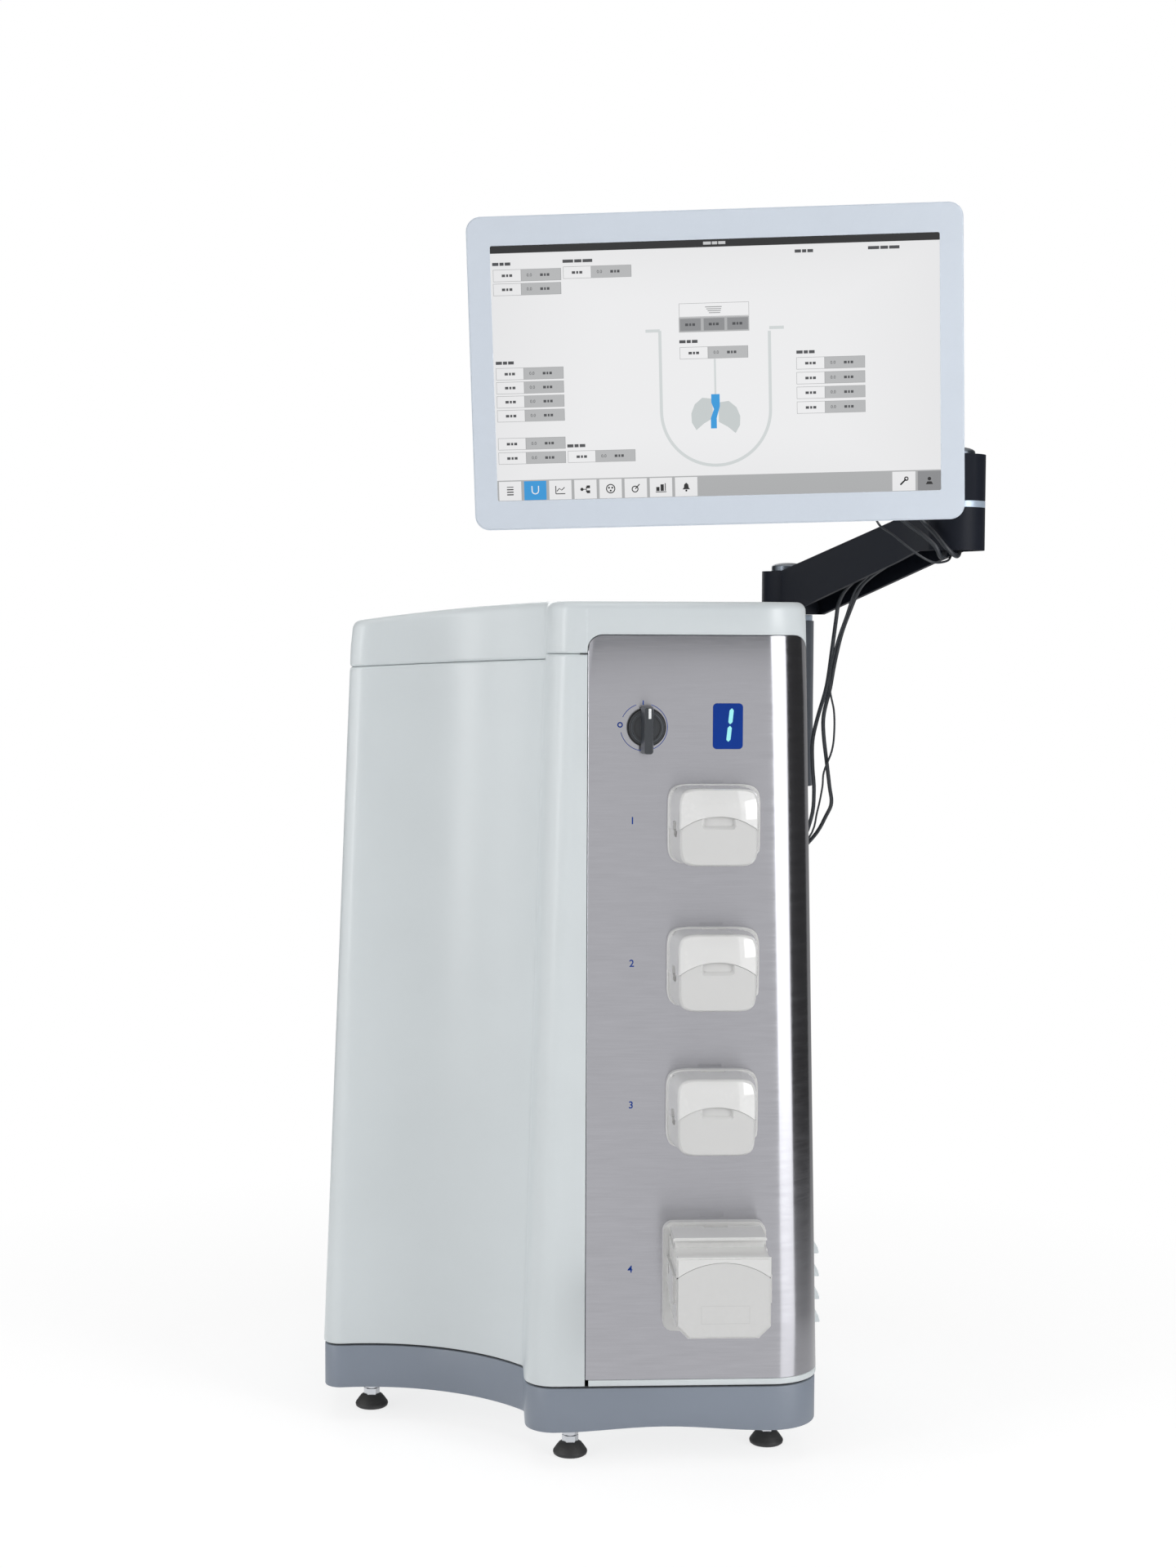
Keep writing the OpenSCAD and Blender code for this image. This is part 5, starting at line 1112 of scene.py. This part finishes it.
# %% Screen tones
def screen_tone(name, colour):
    material, tree, shader = new_material(
        name, Base_Color=paint(16, 17, 19), Roughness=0.22, Emission_Strength=0.84)
    lit = use(tree, backlight)
    shade = blend_of(tree, lit.outputs["Glow"], scaled(colour, 0.5), list(colour))
    tree.links.new(shade, shader.inputs["Emission Color"])
    return material


TONES = {
    "white": (250, 250, 251), "black": (8, 8, 9), "box": (192, 193, 194), "line": (168, 169, 170),
    "button": (146, 147, 149), "writing": (72, 73, 76), "bar": (184, 185, 186), "blue": (42, 160, 230),
    "vessel": (220, 225, 225), "blade": (208, 214, 214), "faint": (214, 215, 216),
}
tone_index = {name: i for i, name in enumerate(TONES)}
tone_materials = [screen_tone("screen " + name, paint(*colour)) for name, colour in TONES.items()]
LAYER = 0.035
picture = bmesh.new()


def field(outline, tone, layer):
    """A field of colour. The outline is given right and down from the screen's top left corner."""
    prism(picture, screen_face, [(x, -down) for x, down in outline], -LAYER * (layer - 1),
          -LAYER * layer, tone_index[tone])


def writing(x, down, width, height=2.0, tone="writing"):
    """Bars that hold the place of writing: a few short words of uneven length."""
    share = 0
    for word in (0.38, 0.27, 0.35):
        if width * word > 1.6:
            field(oblong(x + width * share, down - height / 2, width * word - 0.8, height), tone, 4)
        share += word


def data_box(x, down):
    field(oblong(x - 0.3, down - 0.3, 53.2, 9.3), "line", 2)
    field(oblong(x, down, 21.4, 8.7), "white", 3)
    field(oblong(x + 21.8, down, 30.7, 8.7), "box", 3)
    writing(x + 6.5, down + 4.4, 9)
    numeral(picture, screen_face, "0.0", x + 28, -(down + 4.4), 2.5, LAYER, -4 * LAYER,
            tone_index["writing"])
    writing(x + 36.5, down + 4.4, 8)


field(oblong(0, 0, GLASS_W, GLASS_H), "white", 1)
field(oblong(0, 0, GLASS_W, 5.8), "black", 2)
writing(166, 2.8, 18, 2.2, "faint")
print("screen tones:", len(tone_materials))

# %% Screen: boxes, vessel and buttons
for x, down, width in ((1.5, 14, 15), (56.5, 13.2, 24), (1.8, 90, 15), (56.2, 155.6, 15),
                       (146, 77.5, 15), (236.8, 88, 15), (236.6, 11, 15), (293, 10.2, 25)):
    writing(x, down, width, 2.4)
boxes = [(2.2, 18.5), (2.0, 29.2), (57, 17.6), (56.8, 159.8), (146.5, 82)]
boxes += [(2, down) for down in (94.2, 105, 115.9, 126.8, 148.6, 159.8)]
boxes += [(237, down) for down in (92.3, 103.7, 115, 126.4)]
for x, down in boxes:
    data_box(x, down)
field(oblong(146.2, 48.2, 54.4, 10.6), "line", 2)
field(oblong(146.5, 48.5, 53.8, 10), "white", 3)
for k in range(4):
    field(oblong(166.5 + k, 51 + 1.5 * k, 13 - 1.4 * k, 0.7), "line", 4)
field(oblong(145.9, 59, 54.7, 11.4), "bar", 2)
for x in (146.8, 165.2, 183.5):
    field(oblong(x, 60, 16.2, 9.3), "button", 3)
    writing(x + 4, 64.6, 8.5)
vessel = [(119.8, -68.6), (130.9, -68.6), (130.9, -71), (130.9, -131)]
vessel += arc_points(173.5, -131, 42.6, 180, 360, 40)[1:]
vessel += [(216.1, -71), (216.1, -68.6), (227.4, -68.6)]
for stretch in (vessel[:2], vessel[1:-2], vessel[-2:]):
    field([(x, -z) for x, z in band(stretch, 2.4)], "vessel", 2)
field(oblong(172.6, 91.3, 1.5, 28), "vessel", 2)
LEFT_BLADE = [(171, 122), (163, 121), (157, 126), (154.2, 133), (154.5, 140), (158, 146),
              (164, 141), (171, 137)]
SHAFT_X = 173.3
for side in (1, -1):
    field([(SHAFT_X + side * (x - SHAFT_X), down + (0 if side == 1 else 3))
           for x, down in LEFT_BLADE], "blade", 2)
field([(170, 118.5), (176.6, 118.5), (176.6, 128), (174, 137), (174, 145), (169.4, 145),
       (169.4, 137), (172, 130), (170, 125)], "blue", 3)
field(oblong(0, 181.4, GLASS_W, 16.1), "bar", 2)
print("fields so far:", len(picture.faces) // 6)

# %% Screen: the button bar
# Each icon is a list of outlines, right and down from the icon's own middle.
ICONS = [
    [oblong(-2.6, -3.4, 5.2, 0.6)] + [oblong(-2.6, down, 5.2, 0.9) for down in (-1.6, 0.4, 2.4)],
    [band([(-2.6, -3.6), (-2.6, 0)] + [(a, -b) for a, b in arc_points(0, 0, 2.6, 180, 360, 10)]
          + [(2.6, -3.6)], 0.8)],
    [band(line, 0.7) for line in ([(-3.6, -3.2), (-3.6, 3)], [(-3.6, 3), (3.8, 3)],
                                  [(-2.8, 1), (-0.8, -1.2), (1, 0.2), (3.4, -2)])],
    [disc(-2.8, 0, 1.3, 12), oblong(-1.6, -0.3, 2.4, 0.6), oblong(1, -3, 2.6, 2.2),
     oblong(1, 0.9, 2.6, 2.2), oblong(0.4, -2.2, 0.6, 4.4)],
    [ring_mark(0, 0, 3.3)] + [disc(*on_arc((0, 0), 1.5, a), 0.8, 10) for a in (90, 210, 330)],
    [ring_mark(-0.6, 0.8, 2.3), band([(-0.4, 0.6), (3, -3)], 0.8)],
    [oblong(-3.8, -0.4, 2.6, 3.2), oblong(-0.4, -2.4, 2.6, 5.2), oblong(3, -3.2, 0.7, 6),
     oblong(-4.2, 3.2, 8.4, 0.6)],
    [[(-3, 2), (-1.9, 0.6), (-1.6, -1.8), (0, -3.2), (1.6, -1.8), (1.9, 0.6), (3, 2)],
     disc(0, 3, 0.8, 10)],
]
TOOL_ICON = [band([(-2.8, 2.8), (1.6, -1.6)], 1.3), ring_mark(1.9, -1.9, 1.3, 0.9)]
PERSON_ICON = [disc(0, -1.5, 1.4, 14), [(-2.8, 2.8), (-1.6, 0.6), (1.6, 0.6), (2.8, 2.8)]]
BAR_TOP, ICON_DOWN = 182.3, 189.8
CELL_W, CELL_STEP = 17.6, 19.85
cells = [(1.3 + CELL_STEP * k, CELL_W, "blue" if k == 1 else "white", icon)
         for k, icon in enumerate(ICONS)]
cells += [(310.2, 18, "white", TOOL_ICON), (330, 18, "button", PERSON_ICON)]
for x, width, tone, icon in cells:
    field(oblong(x, BAR_TOP, width, 14.9), tone, 3)
    for outline in icon:
        field([(x + width / 2 + right, ICON_DOWN + down) for right, down in outline],
              "white" if tone == "blue" else "black", 4)
piece = mesh_piece("screen_picture", picture, smooth=False)
for material in tone_materials:
    piece.data.materials.append(material)
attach(piece, "monitor")
print("screen picture has", len(piece.data.polygons), "faces")

# %% [markdown]
# The floor is a large pale sheet that runs on out of sight. Light bounces from it as from white
# card. Camera rays see it shine as white as the sky, as on a light table, but for a zone near the
# station where a share of its brightness is real light, so that the feet keep their soft shadow.
# Reflections pass through it to what is below the bench.

# %% Floor and sky
SKY_LEVEL, SHADOW_SHARE, FLOOR_LIGHT = 0.28, 0.3, 0.78


def seen_not_lit(tree):
    """A mask that is 1 for camera rays, and for reflections and refractions."""
    rays = put(tree, "LightPath")
    either = calc(tree, "MAXIMUM", rays.outputs["Is Camera Ray"], rays.outputs["Is Glossy Ray"])
    return calc(tree, "MAXIMUM", either, rays.outputs["Is Transmission Ray"])


def choose(tree, share, first, second):
    mixed = put(tree, "MixShader", {"Fac": share})
    tree.links.new(first, mixed.inputs[1])
    tree.links.new(second, mixed.inputs[2])
    return mixed.outputs["Shader"]


world = bpy.data.worlds.new("studio")
world.use_nodes = True
bpy.context.scene.world = world
sky = world.node_tree
sky.nodes.clear()
lit, seen = (shine(sky, level, "Background") for level in (SKY_LEVEL, 1.0))
sky.links.new(choose(sky, seen_not_lit(sky), lit, seen), put(sky, "OutputWorld").inputs["Surface"])

bm = bmesh.new()
bmesh.ops.create_grid(bm, x_segments=24, y_segments=24, size=7)
floor = mesh_piece("floor", bm)
floor.visible_glossy = False
floor_white, tree, shader = new_material(
    "pale floor", Base_Color=paint(244, 244, 245), Roughness=0.6)
shaded = put(tree, "BsdfDiffuse", {"Color": (*[SHADOW_SHARE] * 3, 1)}).outputs["BSDF"]
near = put(tree, "AddShader")
tree.links.new(shaded, near.inputs[0])
tree.links.new(shine(tree, 1 - SHADOW_SHARE * FLOOR_LIGHT), near.inputs[1])
from_middle = put(tree, "VectorMath", {
    0: put(tree, "TexCoord").outputs["Object"], 1: (-0.02, 0.15, 0)}, operation="DISTANCE")
away = remap(tree, from_middle.outputs["Value"], 0.45, 1.0)
near_or_far = choose(tree, away, near.outputs["Shader"], shine(tree, 1.0))
surface = choose(tree, seen_not_lit(tree), shader.outputs["BSDF"], near_or_far)
tree.links.new(surface, tree.nodes["Material Output"].inputs["Surface"])
floor.data.materials.append(floor_white)
print("floor and sky are white to the camera")

# %% [markdown]
# Soft lamps stand left, right, above and behind, as in a product studio. The tall strip on the left
# draws the soft line down the nook, and the small one on the right the window in each pump cover.
# Cards are seen only in reflections. The grey ones keep the steel even, and the dark ones draw the
# dark band where the steel rolls round the corner and keep the black arm black. On the right they
# reach below the bench, which reflections pass, so that the bands run down to the steel's foot.

# %% Lights
def aim(thing, place, target, forward):
    """Puts it at the place, with its forward axis towards the target."""
    thing.location = place
    thing.rotation_mode = "QUATERNION"
    thing.rotation_quaternion = (Vector(target) - Vector(place)).to_track_quat(forward, "Y")


def softbox(name, place, target, width, height, watts):
    data = bpy.data.lights.new(name, "AREA")
    data.shape = "RECTANGLE"
    data.size, data.size_y, data.energy = width, height, watts
    lamp = bpy.data.objects.new(name, data)
    aim(lamp, place, target, "-Z")
    bpy.context.scene.collection.objects.link(lamp)


FADE_LOW, FADE_HIGH = -0.42, -0.1


def card_glow(name, brightness, below):
    """A card's material: its brightness, and that below the bench. It lights nothing."""
    material = bpy.data.materials.new(name)
    material.use_nodes = True
    material.cycles.emission_sampling = "NONE"
    tree = material.node_tree
    tree.nodes.clear()
    spot = put(tree, "SeparateXYZ", {"Vector": put(tree, "NewGeometry").outputs["Position"]})
    fading = remap(tree, spot.outputs["Z"], FADE_LOW, FADE_HIGH, below, brightness)
    tree.links.new(shine(tree, fading), put(tree, "OutputMaterial").inputs["Surface"])
    return material


card_black = card_glow("dark card", 0.06, 0.7)
card_grey = card_glow("grey card", 0.32, 0.7)
card_white = card_glow("white card", 2.0, 1.7)


def mirror_card(name, material, place, target, width, height):
    """A card that only reflections see."""
    bm = bmesh.new()
    bmesh.ops.create_grid(bm, x_segments=1, y_segments=1, size=0.5)
    bmesh.ops.scale(bm, vec=(width, height, 1), verts=bm.verts)
    card = mesh_piece(name, bm, material)
    aim(card, place, target, "Z")
    card.visible_camera = card.visible_diffuse = False
    card.visible_shadow = card.visible_transmission = False


softbox("left strip", (-2.13, -1.49, 1.2), (0, 0, 0.6), 0.4, 2.2, 23)
softbox("left softbox", (-2.5, -0.45, 1.1), (-0.05, 0, 0.5), 0.8, 2.0, 9)
softbox("right softbox", (1.58, -1.30, 1.0), (0.1, 0, 0.5), 1.29, 2.4, 21)
softbox("window", (1.63, -1.56, 0.95), (0.12, -0.1, 0.5), 0.62, 0.6, 9)
softbox("overhead softbox", (0, -0.2, 2.6), (0, 0.1, 0.6), 2.0, 1.6, 12)
softbox("back softbox", (-0.6, 2.6, 1.4), (0, 0, 0.5), 1.6, 1.6, 12)
mirror_card("grey_card", card_grey, (0.5, -3.0, 2.3), (0.1, 0.0, 0.7), 2.6, 1.6)
mirror_card("dark_card_right", card_black, (1.76, 0.26, -0.2), (0.18, 0.0, -0.2), 2.2, 4.8)
mirror_card("grey_card_behind", card_grey, (0.98, 1.39, -0.2), (0.18, 0.0, -0.2), 1.2, 4.8)
mirror_card("dark_card_left", card_black, (-1.2, 1.4, 1.0), (0.25, 0.25, 0.75), 1.6, 2.4)
mirror_card("white_card_right", card_white, (1.58, -1.30, -1.4), (0.1, 0, -1.4), 1.29, 2.4)
bpy.context.scene.view_settings.view_transform = "Standard"
